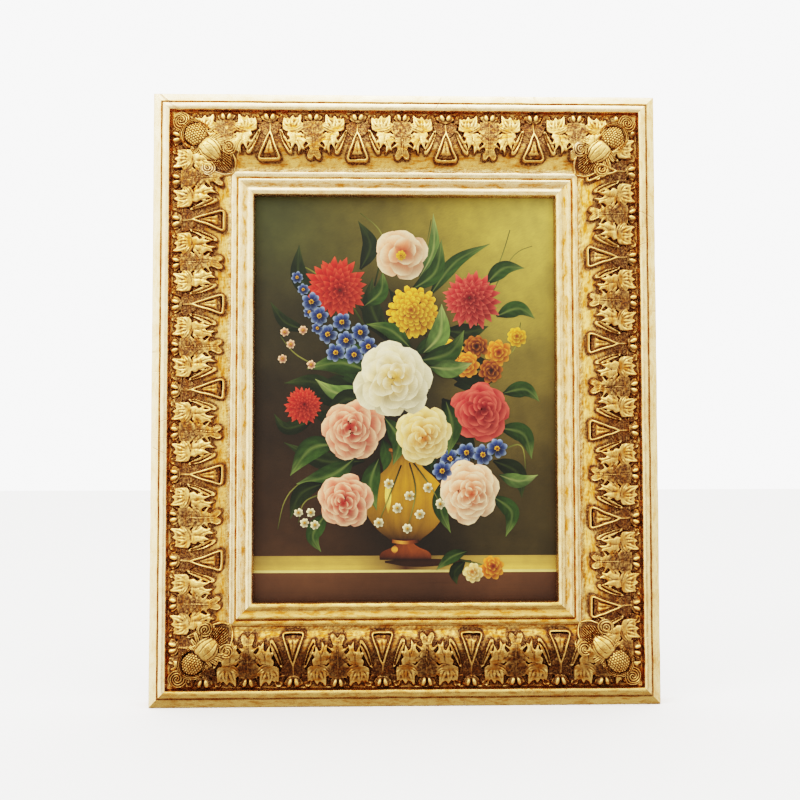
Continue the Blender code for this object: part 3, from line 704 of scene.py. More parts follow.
def pressFruit(field):
    part, ring = corner["fruit"], corner["collar"]
    reach = ring["radius"] + ring["half"]
    where = nearLine(field, [(part["at"], 0)], reach)
    x, y = field["x"][where] - part["at"], field["y"][where]
    r, angle = np.hypot(x, y), np.abs(np.arctan2(y, -x))
    # The ribbed collar lies round its outer side and thins out to the ends
    half = ring["half"] * (1 - 0.55 * eased((angle - 0.9) / 1.3))
    across = np.abs(r - ring["radius"]) / half
    ribs = 0.5 + 0.5 * np.cos(math.tau * (r - ring["radius"]) / (ring["ribs"] * half / ring["half"]))
    band = (ring["rise"] * eased(1.8 * (1 - across)) + 1.3 * (ribs - 0.5)) * eased((2.15 - angle) / 0.25)
    keepHigher(field, where, np.where(across < 1, band, noRise), 0.1 + 0.75 * ribs)
    # The seeds stand in rows on the dome
    seed = part["seed"]
    rows = np.rint(y / (seed * 0.866))
    shift = 0.5 * (rows % 2)
    columns = np.rint(x / seed - shift)
    gap = np.hypot(x - (columns + shift) * seed, y - rows * seed * 0.866)
    bump = np.sqrt(np.clip(1 - (gap / (seed * 0.52))**2, 0, 1))
    dome = np.sqrt(np.clip(1 - (r / part["radius"])**2, 0, 1))
    rise = np.where(r < part["radius"], 1.2 + part["rise"] * dome**0.8 + 1.5 * (bump - 0.5), noRise)
    keepHigher(field, where, rise, 0.9 * bump)


def pressRibs(field):
    part = corner["ribs"]
    back, front = part["from"], part["to"]
    half = [(back - 4, 8), (back + 6, 9.5), (front - 7, 10), (front - 1.6, 6.2)]
    outline = sided(half, -1) + [(front + 1.2, 0)] + half[::-1]
    where = nearLine(field, outline, 1)
    x, y = field["x"][where], field["y"][where]
    inside = insideDistance(x, y, outline)
    fan = np.arctan2(y, x - part["fan"])
    ribs = 0.5 + 0.5 * np.cos(math.tau * fan / part["pitch"])
    rise = part["rise"] * eased(inside / 1.6) + 1.7 * (ribs - 0.5) * eased(inside / 0.8)
    keepHigher(field, where, np.where(inside > 0, rise, noRise), 0.1 + 0.6 * ribs)
    for side in (-1, 1):
        tip = softLine(sided([(front - 9, 13), (front - 1, 9), (front + 4.4, 1.2)], side))
        pressStroke(field, tip, [1.2, 1.7, 0.7], [3.4, 4.2, 2.6], bright=0.7)


def pressScroll(field, side):
    part = corner["scroll"]
    centre = (part["at"][0], part["at"][1] * side)
    where = nearLine(field, [centre], part["radius"])
    x, y = field["x"][where] - centre[0], (field["y"][where] - centre[1]) * side
    r, angle = np.hypot(x, y), np.arctan2(y, x)
    coil = 0.5 + 0.5 * np.cos(math.tau * r / part["ribs"] - angle)
    dome = eased((part["radius"] - r) / 2.5)
    rise = 1.5 + (part["rise"] - 1.5) * dome * (0.6 + 0.4 * np.sin(angle * 0.5 + 0.6)) + 1.3 * (coil - 0.5)
    keepHigher(field, where, np.where(r < part["radius"], rise, noRise), 0.2 + 0.65 * coil)


def makeCornerCarving(field):
    field["rise"] -= corner["sunk"]
    plate = corner["plate"]
    pressShape(field, plate + sided(plate[-2:0:-1], -1), corner["plateRise"], 1.5, bright=0.05)
    for side in (1, -1):
        # Leaf lobes that spread from behind the husk and the scrolls
        for line, half, bright in corner["lobes"]:
            pressStroke(field, softLine(sided(line, side)), [half * 0.7, half, half * 0.9, 0.5],
                        [3.4, 4.2, 4.0, 2.0], bright=bright, flat=0.3, groove=0.25)
        pressScroll(field, side)
        # A curl at each end of the collar
        curl = corner["curl"]
        radii = (curl["radius"], curl["radius"])
        pressDome(field, sided([curl["at"]], side)[0], radii, 0, curl["rise"], bright=0.5)
        cut(field, softLine(sided(corner["curlCut"], side)), 0.6, 1.2)
    pressRibs(field)
    husk = corner["husk"]
    pressDome(field, (husk["at"], 0), husk["radii"], 0, husk["rise"], bright=0.95, foot=0.6)
    for side in (1, -1):
        for line, half, depth, dull in corner["huskCuts"]:
            cut(field, softLine(sided(line, side)), half, depth, dull)
    pressFruit(field)
    pressRosette(field)


def makeCorner(word, place):
    columns = int((corner["end"] - corner["start"]) / corner["cell"])
    share, side = np.meshgrid(np.linspace(0, 1, columns + 1), np.linspace(-1, 1, corner["rows"] + 1))
    along = corner["start"] + (corner["end"] - corner["start"]) * share
    knots = np.array(corner["outline"])
    off = side * np.interp(along, knots[:, 0], knots[:, 1])
    seed = place["seed"]
    laidX = along + 0.5 * waves(along, off, 45, seed) + 0.15 * waves(along, off, 9, seed + 1)
    laidY = off + 0.5 * waves(along, off, 45, seed + 2) + 0.15 * waves(along, off, 9, seed + 3)
    field = newField(laidX, laidY)
    makeCornerCarving(field)
    rise = field["rise"] + 0.05 * waves(along, off, 3.0, seed + 5)
    edge = eased((1 - np.abs(side)) / 0.06) * eased(share / 0.02) * eased((1 - share) / 0.02)
    rise = rise * edge - corner["sunk"] * (1 - edge)
    near, far, hollowShade, foot = foldsOf(rise, corner["folds"])
    bright = blurred(field["bright"], 1)
    # Ridges and high points go lighter: rubbed toning and a painted highlight
    rubAndHighlight = np.clip((rise - near) / 0.3, 0, 1) * 0.5
    rubAndHighlight += np.clip((rise - far) / 1.8, 0, 1) * 0.4 * (0.3 + 0.7 * bright)
    patchy = 0.7 + 0.3 * waves(along, off, 10, seed + 7)
    # Painted shade in the hollows and along the foot of every raised edge, with stain where the gilt is dull
    stainAndShade = np.clip(0.9 * hollowShade + 0.7 * foot + 0.85 * (1 - bright) * patchy, 0, 1)
    glaze = np.clip(1.2 - 0.75 * bright, 0, 1)
    # The crease of the mitre is filled under the ornament
    ground = fieldHeight((along - np.sqrt(off**2 + 9)) / math.sqrt(2))
    makeCarvedPiece(f"corner_carving_{word}", f"corner_ornament_{word}", place,
                    (along + off) / math.sqrt(2), (off - along) / math.sqrt(2), ground + rise,
                    ground - corner["skirt"], (stainAndShade, rubAndHighlight, glaze), place["leaf"])


# Materials

def newMaterial(name):
    material = bpy.data.materials.new(name)
    material.use_nodes = True
    return material, material.node_tree, material.node_tree.nodes["Principled BSDF"]


def addNode(tree, kind, **settings):
    node = tree.nodes.new(kind)
    for key, value in settings.items():
        setattr(node, key, value)
    return node


def feed(tree, node, socket, source):
    if isinstance(source, bpy.types.NodeSocket):
        tree.links.new(source, node.inputs[socket])
    elif isinstance(source, (tuple, list)) and len(source) == 3 and node.inputs[socket].type == "RGBA":
        node.inputs[socket].default_value = (*source, 1)
    else:
        node.inputs[socket].default_value = source


def mathNode(tree, operation, a, b=0.0, clamp=False):
    node = addNode(tree, "ShaderNodeMath", operation=operation, use_clamp=clamp)
    feed(tree, node, 0, a)
    feed(tree, node, 1, b)
    return node.outputs[0]


def times(tree, a, b, clamp=False):
    return mathNode(tree, "MULTIPLY", a, b, clamp)


def stretched(tree, place, shares):
    # A pattern's place, with a share below 1 where the pattern runs long
    node = addNode(tree, "ShaderNodeVectorMath", operation="MULTIPLY")
    feed(tree, node, 0, place)
    feed(tree, node, 1, shares)
    return node.outputs[0]


def toneBy(tree, colour, amount):
    node = addNode(tree, "ShaderNodeVectorMath", operation="SCALE")
    feed(tree, node, 0, colour)
    feed(tree, node, "Scale", amount)
    return node.outputs[0]


def attributeOf(tree, name, output="Vector"):
    return addNode(tree, "ShaderNodeAttribute", attribute_name=name).outputs[output]


def addBump(tree, shader, height, strength, distance):
    bump = addNode(tree, "ShaderNodeBump")
    feed(tree, bump, "Strength", strength)
    feed(tree, bump, "Distance", distance)
    feed(tree, bump, "Height", height)
    feed(tree, shader, "Normal", bump.outputs[0])


def mixNode(tree, amount, a, b):
    node = addNode(tree, "ShaderNodeMix", data_type="RGBA")
    feed(tree, node, 0, amount)
    feed(tree, node, 6, a)
    feed(tree, node, 7, b)
    return node.outputs[2]


def noiseNode(tree, vector, scale, detail=4, roughness=0.55):
    node = addNode(tree, "ShaderNodeTexNoise")
    feed(tree, node, "Vector", vector)
    feed(tree, node, "Scale", scale)
    feed(tree, node, "Detail", detail)
    feed(tree, node, "Roughness", roughness)
    return node.outputs["Fac"]


def rangeNode(tree, value, low, high, toLow=0.0, toHigh=1.0):
    node = addNode(tree, "ShaderNodeMapRange", interpolation_type="SMOOTHSTEP")
    for number, source in enumerate((value, low, high, toLow, toHigh)):
        feed(tree, node, number, source)
    return node.outputs[0]


def makeGiltGroup():
    # Gold leaf over red-brown ground: outputs colour, metal, roughness and height
    group = bpy.data.node_groups.new("gilding", "ShaderNodeTree")
    for way, kind, names in (
        ("INPUT", "Color", ("Leaf", "PaleGlare", "Glaze", "StainAndShade", "Ground")), ("INPUT", "Float", ("Wear",)),
        ("OUTPUT", "Color", ("Colour",)), ("OUTPUT", "Float", ("Metal", "Roughness", "Height")),
    ):
        for name in names:
            group.interface.new_socket(name, in_out=way, socket_type=f"NodeSocket{kind}")
    given = addNode(group, "NodeGroupInput").outputs
    finishAndLight = addNode(group, "ShaderNodeAttribute", attribute_name="finishAndLight")
    parts = addNode(group, "ShaderNodeSeparateColor")
    feed(group, parts, 0, finishAndLight.outputs["Color"])
    # The marks carry stain with painted shade, rubbed toning with a painted highlight, and glaze
    stainAndShadeMark, rubAndHighlightMark, glazeMark = parts.outputs
    # The alpha is painted light by side: the top rail's gilt lightest, the bottom's darkest
    sideLight = finishAndLight.outputs["Alpha"]
    place = attributeOf(group, "rail")
    blotch = noiseNode(group, place, 38, 5, 0.6)
    speckle = noiseNode(group, place, 620, 3, 0.7)
    grit = noiseNode(group, place, 1700, 2, 0.6)
    # Cracks run across the rail
    cells = addNode(group, "ShaderNodeTexVoronoi", feature="DISTANCE_TO_EDGE")
    feed(group, cells, "Vector", stretched(group, place, (1, 0.22, 0.22)))
    feed(group, cells, "Scale", 26)
    crackMask = rangeNode(group, noiseNode(group, place, 17, 3), 0.6, 0.68)
    crack = times(group, rangeNode(group, cells.outputs["Distance"], 0.002, 0.009, 1, 0), crackMask)
    worn = times(group, rangeNode(group, speckle, 0.6, 0.7), rangeNode(group, blotch, 0.42, 0.62))
    worn = mathNode(group, "MAXIMUM", times(group, worn, given["Wear"]), times(group, crack, 0.55))
    stainAndShade = times(group, stainAndShadeMark, rangeNode(group, speckle, 0.3, 0.7, 0.65, 1.15), clamp=True)
    brushMarks = noiseNode(group, stretched(group, place, (0.3, 1, 1)), 330, 5, 0.7)
    brushed = rangeNode(group, brushMarks, 0.42, 0.68)
    glaze = times(group, glazeMark, rangeNode(group, blotch, 0.25, 0.7, 0.6, 1.15))
    glaze = times(group, glaze, rangeNode(group, brushed, 0, 1, 0.6, 1.35), clamp=True)
    # The thin glaze over the leaf is stronger on the darker sides, painted shade by side
    thin = times(group, brushed, rangeNode(group, sideLight, 0.6, 1.0, 0.7, 0.25))
    thin = mathNode(group, "ADD", thin, rangeNode(group, blotch, 0.4, 0.75, 0, 0.2), clamp=True)
    # The plain bands of the lighter sides are painted paler than the carving, a painted glare
    across = addNode(group, "ShaderNodeSeparateXYZ")
    feed(group, across, 0, place)
    inset = across.outputs[1]
    carved = times(group, rangeNode(group, inset, 0.015, 0.019), rangeNode(group, inset, 0.07, 0.076, 1, 0))
    pale = times(group, rangeNode(group, sideLight, 0.6, 1.0), rangeNode(group, carved, 0, 1, 1, 0.08))
    leaf = mixNode(group, pale, given["Leaf"], given["PaleGlare"])
    leaf = mixNode(group, thin, leaf, given["Glaze"])
    colour = leaf
    for amount, name in ((glaze, "Glaze"), (worn, "Ground"), (stainAndShade, "StainAndShade")):
        colour = mixNode(group, amount, colour, given[name])
    # High points go back to the leaf colour: rubbed toning and a painted highlight
    colour = mixNode(group, times(group, rubAndHighlightMark, 0.7), colour, leaf)
    metal = mathNode(group, "SUBTRACT", 0.97, times(group, stainAndShade, 0.08))
    metal = mathNode(group, "SUBTRACT", metal, times(group, worn, 0.6), clamp=True)
    rough = rangeNode(group, speckle, 0.3, 0.75, 0.2, 0.36)
    rough = mathNode(group, "ADD", rough, times(group, stainAndShade, 0.15))
    height = mathNode(group, "SUBTRACT", times(group, speckle, 0.6), times(group, crack, 1.2))
    height = mathNode(group, "ADD", height, times(group, grit, 0.3))
    result = addNode(group, "NodeGroupOutput")
    # The colour is scaled by the painted light by side
    outputs = {"Colour": toneBy(group, colour, sideLight), "Metal": metal, "Roughness": rough, "Height": height}
    for name, source in outputs.items():
        feed(group, result, name, source)
    return group


# The pale colour is a painted glare on the bands of the lighter sides, and the stain colour also paints shade
# in the hollows and along the foot of the carving
giltColoursAndLight = {
    "Leaf": (0.95, 0.605, 0.23),
    "PaleGlare": (0.98, 0.75, 0.44),
    "Glaze": (0.52, 0.18, 0.022),
    "StainAndShade": (0.052, 0.0185, 0.0075),
    "Ground": (0.16, 0.045, 0.014),
    "Wear": 0.5,
}


def makeGilt():
    material, tree, shader = newMaterial("gilt")
    group = addNode(tree, "ShaderNodeGroup", node_tree=makeGiltGroup())
    for name, value in giltColoursAndLight.items():
        feed(tree, group, name, value)
    for socket, name in (("Base Color", "Colour"), ("Metallic", "Metal"), ("Roughness", "Roughness")):
        feed(tree, shader, socket, group.outputs[name])
    addBump(tree, shader, group.outputs["Height"], 0.35, 0.0004)
    return material


def makeWood():
    material, tree, shader = newMaterial("bare wood")
    place = stretched(tree, attributeOf(tree, "rail"), (0.09, 1, 1))
    grain = noiseNode(tree, place, 260, 5, 0.65)
    broad = noiseNode(tree, place, 60, 3)
    colour = mixNode(tree, rangeNode(tree, broad, 0.3, 0.7), (0.2, 0.115, 0.052), (0.27, 0.165, 0.08))
    colour = mixNode(tree, rangeNode(tree, grain, 0.48, 0.68, 0, 0.6), colour, (0.11, 0.055, 0.024))
    feed(tree, shader, "Base Color", colour)
    feed(tree, shader, "Roughness", 0.72)
    addBump(tree, shader, grain, 0.4, 0.0003)
    return material


def makeZinc():
    material, tree, shader = newMaterial("zinc plate")
    cloud = noiseNode(tree, addNode(tree, "ShaderNodeTexCoord").outputs["Object"], 420, 4)
    colour = mixNode(tree, rangeNode(tree, cloud, 0.3, 0.7), (0.46, 0.46, 0.45), (0.68, 0.68, 0.66))
    feed(tree, shader, "Base Color", colour)
    feed(tree, shader, "Metallic", 1.0)
    feed(tree, shader, "Roughness", rangeNode(tree, cloud, 0.3, 0.7, 0.3, 0.48))
    return material


giltMaterial = makeGilt()
bareWood = makeWood()
zincPlate = makeZinc()
print("materials made")

for word, rail in rails.items():
    makeMoulding(word, rail)
    makeStrip(word, rail)
print("mouldings and carved strips made")
for word, place in corners.items():
    makeCorner(word, place)
print("corner carvings made")

# The painting. Strokes are small grids laid along lines on the board, in millimetres from its middle

def paint(red, green, blue):
    # Old varnish takes the paint down a little, the dark tones most
    tones = np.array([((v / 255 + 0.055) / 1.055)**2.4 for v in (red, green, blue)])
    return np.array((0.41, 0.37, 0.25)) * tones**1.2


# Each paint is mixed in three tones: in shade, in full colour and in light
paints = {
    "red": (paint(96, 12, 14), paint(196, 32, 30), paint(240, 104, 84)),
    "crimson": (paint(92, 10, 26), paint(186, 34, 52), paint(238, 122, 118)),
    "pink": (paint(150, 44, 44), paint(226, 128, 116), paint(252, 220, 204)),
    "blush": (paint(176, 76, 62), paint(240, 180, 158), paint(255, 240, 226)),
    "white": (paint(150, 134, 96), paint(232, 226, 204), paint(255, 253, 244)),
    "cream": (paint(172, 112, 46), paint(238, 206, 142), paint(253, 240, 206)),
    "yellow": (paint(146, 78, 10), paint(226, 160, 26), paint(250, 214, 92)),
    "orange": (paint(128, 44, 8), paint(214, 116, 26), paint(248, 186, 84)),
    "maroon": (paint(52, 18, 14), paint(122, 50, 26), paint(206, 134, 54)),
    "blue": (paint(20, 28, 72), paint(52, 78, 160), paint(166, 188, 232)),
    "leaf": (paint(22, 34, 16), paint(64, 92, 44), paint(156, 176, 116)),
    "deepLeaf": (paint(18, 24, 12), paint(44, 58, 28), paint(96, 112, 62)),
    "paleLeaf": (paint(40, 56, 30), paint(108, 136, 84), paint(204, 214, 166)),
    "stem": (paint(34, 38, 18), paint(84, 96, 44), paint(150, 152, 90)),
    "gold": (paint(64, 36, 10), paint(190, 144, 40), paint(246, 226, 140)),
    "copper": (paint(52, 22, 8), paint(144, 78, 24), paint(226, 166, 84)),
}
hearts = {
    "pink": paint(190, 44, 40), "crimson": paint(120, 12, 28), "white": paint(232, 186, 92),
    "cream": paint(206, 120, 44), "blush": paint(214, 104, 66), "yellow": paint(168, 92, 14),
    "red": paint(120, 12, 16),
}
picture = {
    "lightFrom": 2.2,
    "step": 0.004,
    "halfWide": 147.0,
    "grounds": [
        ((-140, 190), paint(92, 98, 62)), ((-40, 190), paint(112, 106, 58)), ((60, 190), paint(168, 154, 82)),
        ((140, 185), paint(214, 202, 128)), ((140, 95), paint(176, 162, 92)), ((138, 0), paint(116, 104, 58)),
        ((-140, 80), paint(72, 66, 44)), ((-10, 60), paint(58, 52, 30)), ((-140, -40), paint(62, 48, 34)),
        ((-120, -140), paint(86, 62, 42)), ((0, -100), paint(44, 34, 22)), ((130, -110), paint(82, 72, 42)),
    ],
    "groundReach": 62.0,
}


brushwork = {
    "apart": 3,  # between the grids of a sheet, before they are laid
    "thinnest": 0.12,
    "streaks": 0.09,
    "run": 20,  # of the brush marks along a stroke
    "nextRun": 7,
    "nextAside": 3,
}


def evenly(points, count):
    line = np.array(softLine([tuple(p) for p in points], 6))
    steps = np.concatenate([[0], np.cumsum(np.linalg.norm(np.diff(line, axis=0), axis=1) + 1e-9)])
    return np.stack([np.interp(np.linspace(0, steps[-1], count), steps, column) for column in line.T], axis=1)


def stroke(sheet, points, widths, tones, level, lit=0.0, rim=None, rib=None, veins=0.0):
    # Widths are half widths, and both they and the tones are spread evenly from the start to the tip
    sheet.append({"points": points, "widths": widths, "tones": tones, "level": level, "lit": lit, "rim": rim,
                  "rib": rib, "veins": veins})


def makeStrokes(name, sheet, along, across):
    deselectAll()
    bpy.ops.mesh.primitive_grid_add(x_subdivisions=across, y_subdivisions=along, size=2)
    piece = newPiece(name)
    copies = piece.modifiers.new("copies", "ARRAY")
    copies.use_relative_offset = False
    copies.use_constant_offset = True
    copies.constant_offset_displace = (brushwork["apart"], 0, 0)
    copies.count = len(sheet)
    applyModifier(piece, copies)
    start = coordinatesOf(piece.data)
    which = np.rint(start[:, 0] / brushwork["apart"]).astype(int)
    side = np.clip(start[:, 0] - brushwork["apart"] * which, -1, 1)
    row = np.rint((start[:, 1] + 1) / 2 * along).astype(int)
    share = row / along
    chance = np.random.RandomState(len(sheet))
    places, colours, brush = np.empty_like(start), np.empty_like(start), np.empty_like(start)
    for number, one in enumerate(sheet):
        mine = which == number
        a, s, r = side[mine], share[mine], row[mine]
        spine = evenly(one["points"], along + 1)
        heading = np.gradient(spine, axis=0)
        heading /= np.linalg.norm(heading, axis=1)[:, None] + 1e-9
        profile = np.array(softLine([(width,) for width in one["widths"]], 6))[:, 0]
        half = np.interp(np.linspace(0, len(profile) - 1, along + 1), np.arange(len(profile)), profile)
        half = np.maximum(half, brushwork["thinnest"])
        reach = a * half[r]
        places[mine, 0] = spine[r, 0] + heading[r, 1] * reach
        places[mine, 1] = spine[r, 1] - heading[r, 0] * reach
        places[mine, 2] = one["level"]
        tones = np.array(one["tones"])
        knots = np.linspace(0, 1, len(tones))
        colour = np.stack([np.interp(s, knots, tones[:, c]) for c in range(3)], axis=1)
        streaks = chance.normal(0, brushwork["streaks"], across + 1)
        colour *= (1 + one["lit"] * a + np.interp(a, np.linspace(-1, 1, across + 1), streaks))[:, None]
        if one["veins"]:
            colour *= (1 + 0.16 * np.sin(math.tau * (one["veins"] * s - 1.3 * np.abs(a))))[:, None]
        if one["rim"] is not None:
            amount = np.clip(np.maximum(s**5, 0.55 * np.abs(a)**4 * s), 0, 1)[:, None]
            colour = colour * (1 - amount) + one["rim"] * amount
        if one["rib"] is not None:
            amount = (0.5 * np.exp(-(a / 0.12)**2) * (1 - 0.7 * s))[:, None]
            colour = colour * (1 - amount) + one["rib"] * amount
        colours[mine] = np.clip(colour, 0, 1)
        brush[mine, 0] = s * brushwork["run"] + number * brushwork["nextRun"]
        brush[mine, 1] = reach + number * brushwork["nextAside"]
        brush[mine, 2] = 0
    places[:, 2] += boardFront / milli
    setCoordinates(piece.data, places * milli)
    writeColour(piece.data, "paint", *colours.T)
    writeVector(piece.data, "brush", brush * milli)
    piece.data.materials.append(oilPaint)
    piece.data.transform(easel)
    finishPiece(piece, "painted_panel")


def toward(centre, angle, length):
    return (centre[0] + math.cos(angle) * length, centre[1] + math.sin(angle) * length)


def makeBloom(sheet, kind, at, size, face, name, level, shape="broad", curl=0.1):
    # Rings of petals from the outside in
    shade, full, light = paints[name]
    heart = hearts.get(name, shade)
    chance = np.random.RandomState(int(abs(at[0]) * 7 + abs(at[1]) * 3))
    for ring, (count, inner, outer, half) in enumerate(bloomRings[kind]):
        depth = ring / len(bloomRings[kind])
        centre = [place + turned * size * (1 - outer) for place, turned in zip(at, face)]
        for number in range(count):
            angle = math.tau * (number + 0.5 * (ring % 2) + chance.uniform(-0.16, 0.16)) / count + face[0]
            length = outer * chance.uniform(0.92, 1.06)
            bend = chance.uniform(-curl, curl) * size
            start, end = toward(centre, angle, inner * size), toward(centre, angle, length * size)
            middle = toward(((start[0] + end[0]) / 2, (start[1] + end[1]) / 2), angle + math.pi / 2, bend)
            facing = math.cos(angle - picture["lightFrom"])
            glow = 0.95 + 0.42 * facing * (0.35 + 0.65 * outer) - 0.1 * depth
            warm = chance.uniform(0.9, 1.08)
            base = shade * (0.8 + 0.2 * facing) * (1 - depth) + heart * depth
            core = full * (1 - 0.6 * depth) + heart * 0.6 * depth
            tones = [base * 0.8, base * 0.6 + core * 0.4 * glow, core * glow * warm,
                     core * 0.5 * glow + light * 0.5 * glow]
            stroke(sheet, [start, middle, end], [half * size * w for w in petalShapes[shape]], tones, level,
                   lit=0.14 * math.sin(angle - picture["lightFrom"]),
                   rim=np.clip(light * (0.62 + 0.38 * glow), 0, 1))
            level += picture["step"]
    return level


petalShapes = {
    "broad": (0.35, 0.75, 1.0, 1.08, 0.95, 0.3),
    "narrow": (0.5, 0.8, 1.0, 0.95, 0.6, 0.05),
    "blunt": (0.4, 0.7, 0.9, 1.0, 0.9, 0.5),
    "leaf": (0.12, 0.7, 1.0, 0.85, 0.45, 0.03),
}
bloomPetals = {"dahlia": ("narrow", 0.04), "pompon": ("blunt", 0.04)}
# Each ring: count, start and end as shares of the radius, half width
bloomRings = {
    "rose": [(8, 0.34, 1.0, 0.37), (8, 0.3, 0.88, 0.33), (7, 0.24, 0.74, 0.29), (7, 0.18, 0.6, 0.25),
             (6, 0.12, 0.46, 0.2), (5, 0.06, 0.33, 0.16), (4, 0.0, 0.2, 0.11)],
    "dahlia": [(17, 0.3, 1.0, 0.13), (17, 0.26, 0.86, 0.125), (16, 0.2, 0.7, 0.11), (14, 0.14, 0.54, 0.1),
               (11, 0.08, 0.38, 0.09), (7, 0.02, 0.22, 0.07)],
    "pompon": [(19, 0.6, 1.0, 0.12), (18, 0.5, 0.88, 0.12), (17, 0.4, 0.75, 0.11), (14, 0.28, 0.6, 0.11),
               (12, 0.16, 0.46, 0.1), (8, 0.06, 0.3, 0.09), (5, 0, 0.16, 0.08)],
    "poppy": [(5, 0.1, 1.0, 0.5), (5, 0.05, 0.78, 0.42), (4, 0.0, 0.5, 0.3)],
    "daisy": [(7, 0.12, 1.0, 0.3)],
    "small": [(9, 0.2, 1.0, 0.28), (8, 0.1, 0.68, 0.24), (5, 0.0, 0.36, 0.18)],
}
# Kind, middle, radius, facing, paint, level
flowers = [
    ("dahlia", (-68, 108), 31, (0.16, -0.1), "red", 0.3),
    ("dahlia", (66, 96), 29, (-0.12, 0.1), "crimson", 0.3),
    ("pompon", (8, 84), 26, (-0.1, 0.1), "yellow", 0.44),
    ("poppy", (-4, 140), 26, (0.1, 0.3), "blush", 0.32),
    ("small", (92, 44), 13, (0, 0.1), "orange", 0.34), ("small", (70, 50), 12, (0, 0.1), "maroon", 0.36),
    ("small", (84, 26), 12, (0.1, 0.1), "maroon", 0.38),
    ("small", (60, 32), 13, (0, 0.1), "orange", 0.42), ("small", (110, 60), 10, (0, 0.1), "yellow", 0.4),
    ("small", (48, 48), 10, (0, 0.1), "yellow", 0.46),
    ("dahlia", (-100, -8), 19, (0.1, 0.1), "red", 0.34),
    ("rose", (-50, -32), 31, (-0.16, 0.14), "pink", 0.5),
    ("rose", (74, -14), 29, (0.14, 0.12), "crimson", 0.5),
    ("rose", (18, -36), 28, (0.05, -0.18), "cream", 0.56),
    ("rose", (-12, 18), 38, (0.1, 0.05), "white", 0.74),
    ("rose", (-58, -100), 27, (-0.12, -0.14), "pink", 0.5),
    ("rose", (62, -92), 30, (0.12, -0.1), "blush", 0.54),
    ("small", (84, -166), 12, (0.2, 0.2), "orange", 0.5),
    ("small", (66, -171), 10, (-0.2, 0.2), "cream", 0.56),
]
# Small flowers in clusters: paint, size, level, then their places
clusters = [
    ("blue", 9.5, 0.4, [(-62, 74), (-76, 62), (-58, 56), (-44, 64), (-68, 44), (-50, 42), (-36, 50),
                        (-84, 80), (-92, 94)]),
    ("blue", 6.0, 0.42, [(-100, 106), (-94, 84), (-106, 118), (-86, 68)]),
    ("blue", 10.0, 0.42, [(44, -60), (60, -54), (76, -56), (54, -68), (90, -50), (36, -72)]),
    ("white", 5.0, 0.9, [(-16, -84), (4, -96), (22, -88), (-8, -108), (14, -114), (34, -104), (-26, -122),
                         (2, -128)]),
    ("blush", 4.5, 0.5, [(-112, 52), (-100, 66), (-120, 38), (-118, 64), (-92, 32)]),
    ("white", 4.5, 0.5, [(-98, -122), (-92, -112), (-104, -112), (-88, -124)]),
]
# Leaves: start, bend and tip, half width, paint, level
leaves = [
    ((-60, -10), (-86, 14), (-118, 14), 9, "deepLeaf", 0.06),
    ((-66, -46), (-92, -50), (-112, -76), 11, "leaf", 0.1),
    ((-50, -60), (-72, -76), (-106, -84), 11, "leaf", 0.12),
    ((-40, -62), (-80, -62), (-118, -44), 9, "deepLeaf", 0.07),
    ((-34, 24), (-62, 34), (-96, 28), 10, "leaf", 0.13),
    ((-30, 4), (-66, 4), (-88, 18), 9, "paleLeaf", 0.16),
    ((-86, 94), (-104, 120), (-104, 150), 9, "deepLeaf", 0.08),
    ((-44, 126), (-34, 150), (-46, 174), 8, "deepLeaf", 0.1),
    ((-20, 60), (-34, 92), (-32, 118), 9, "deepLeaf", 0.11),
    ((6, 106), (30, 124), (36, 156), 8, "leaf", 0.14), ((24, 100), (50, 134), (84, 152), 7, "leaf", 0.12),
    ((14, 118), (28, 146), (28, 182), 6, "paleLeaf", 0.1),
    ((80, 112), (98, 128), (118, 128), 8, "leaf", 0.09), ((90, 80), (112, 88), (128, 78), 8, "leaf", 0.1),
    ((18, 44), (34, 62), (36, 92), 10, "paleLeaf", 0.64),
    ((14, 36), (44, 44), (58, 66), 10, "leaf", 0.66), ((24, 30), (46, 28), (66, 34), 9, "paleLeaf", 0.68),
    ((96, 4), (118, 8), (132, -4), 8, "leaf", 0.12), ((92, -30), (116, -36), (124, -60), 9, "leaf", 0.14),
    ((86, -62), (110, -74), (114, -98), 9, "deepLeaf", 0.1),
    ((40, -4), (46, -28), (42, -56), 10, "leaf", 0.52),
    ((-20, -20), (-6, -42), (-12, -66), 9, "leaf", 0.53),
    ((-26, -60), (-34, -84), (-28, -110), 9, "leaf", 0.46),
    ((-80, -84), (-102, -94), (-112, -118), 8, "deepLeaf", 0.15),
    ((-76, -112), (-90, -134), (-82, -150), 8, "leaf", 0.16),
    ((40, -78), (34, -106), (44, -132), 8, "leaf", 0.44),
    ((84, -96), (104, -112), (98, -136), 8, "leaf", 0.16),
    ((92, -76), (112, -82), (130, -76), 7, "paleLeaf", 0.18),
    ((-96, 66), (-118, 74), (-132, 94), 6, "deepLeaf", 0.09),
    ((60, -150), (44, -156), (30, -168), 6, "leaf", 0.4),
    ((58, -160), (48, -170), (50, -182), 6, "deepLeaf", 0.42),
    ((-40, 90), (-24, 104), (-22, 124), 8, "leaf", 0.18),
    ((40, 66), (60, 64), (82, 70), 9, "deepLeaf", 0.2),
    ((-90, -22), (-116, -30), (-128, -16), 7, "deepLeaf", 0.11),
    ((-30, -8), (-58, -2), (-78, -22), 10, "deepLeaf", 0.2),
    ((6, 48), (-14, 66), (-38, 72), 8, "leaf", 0.48),
]
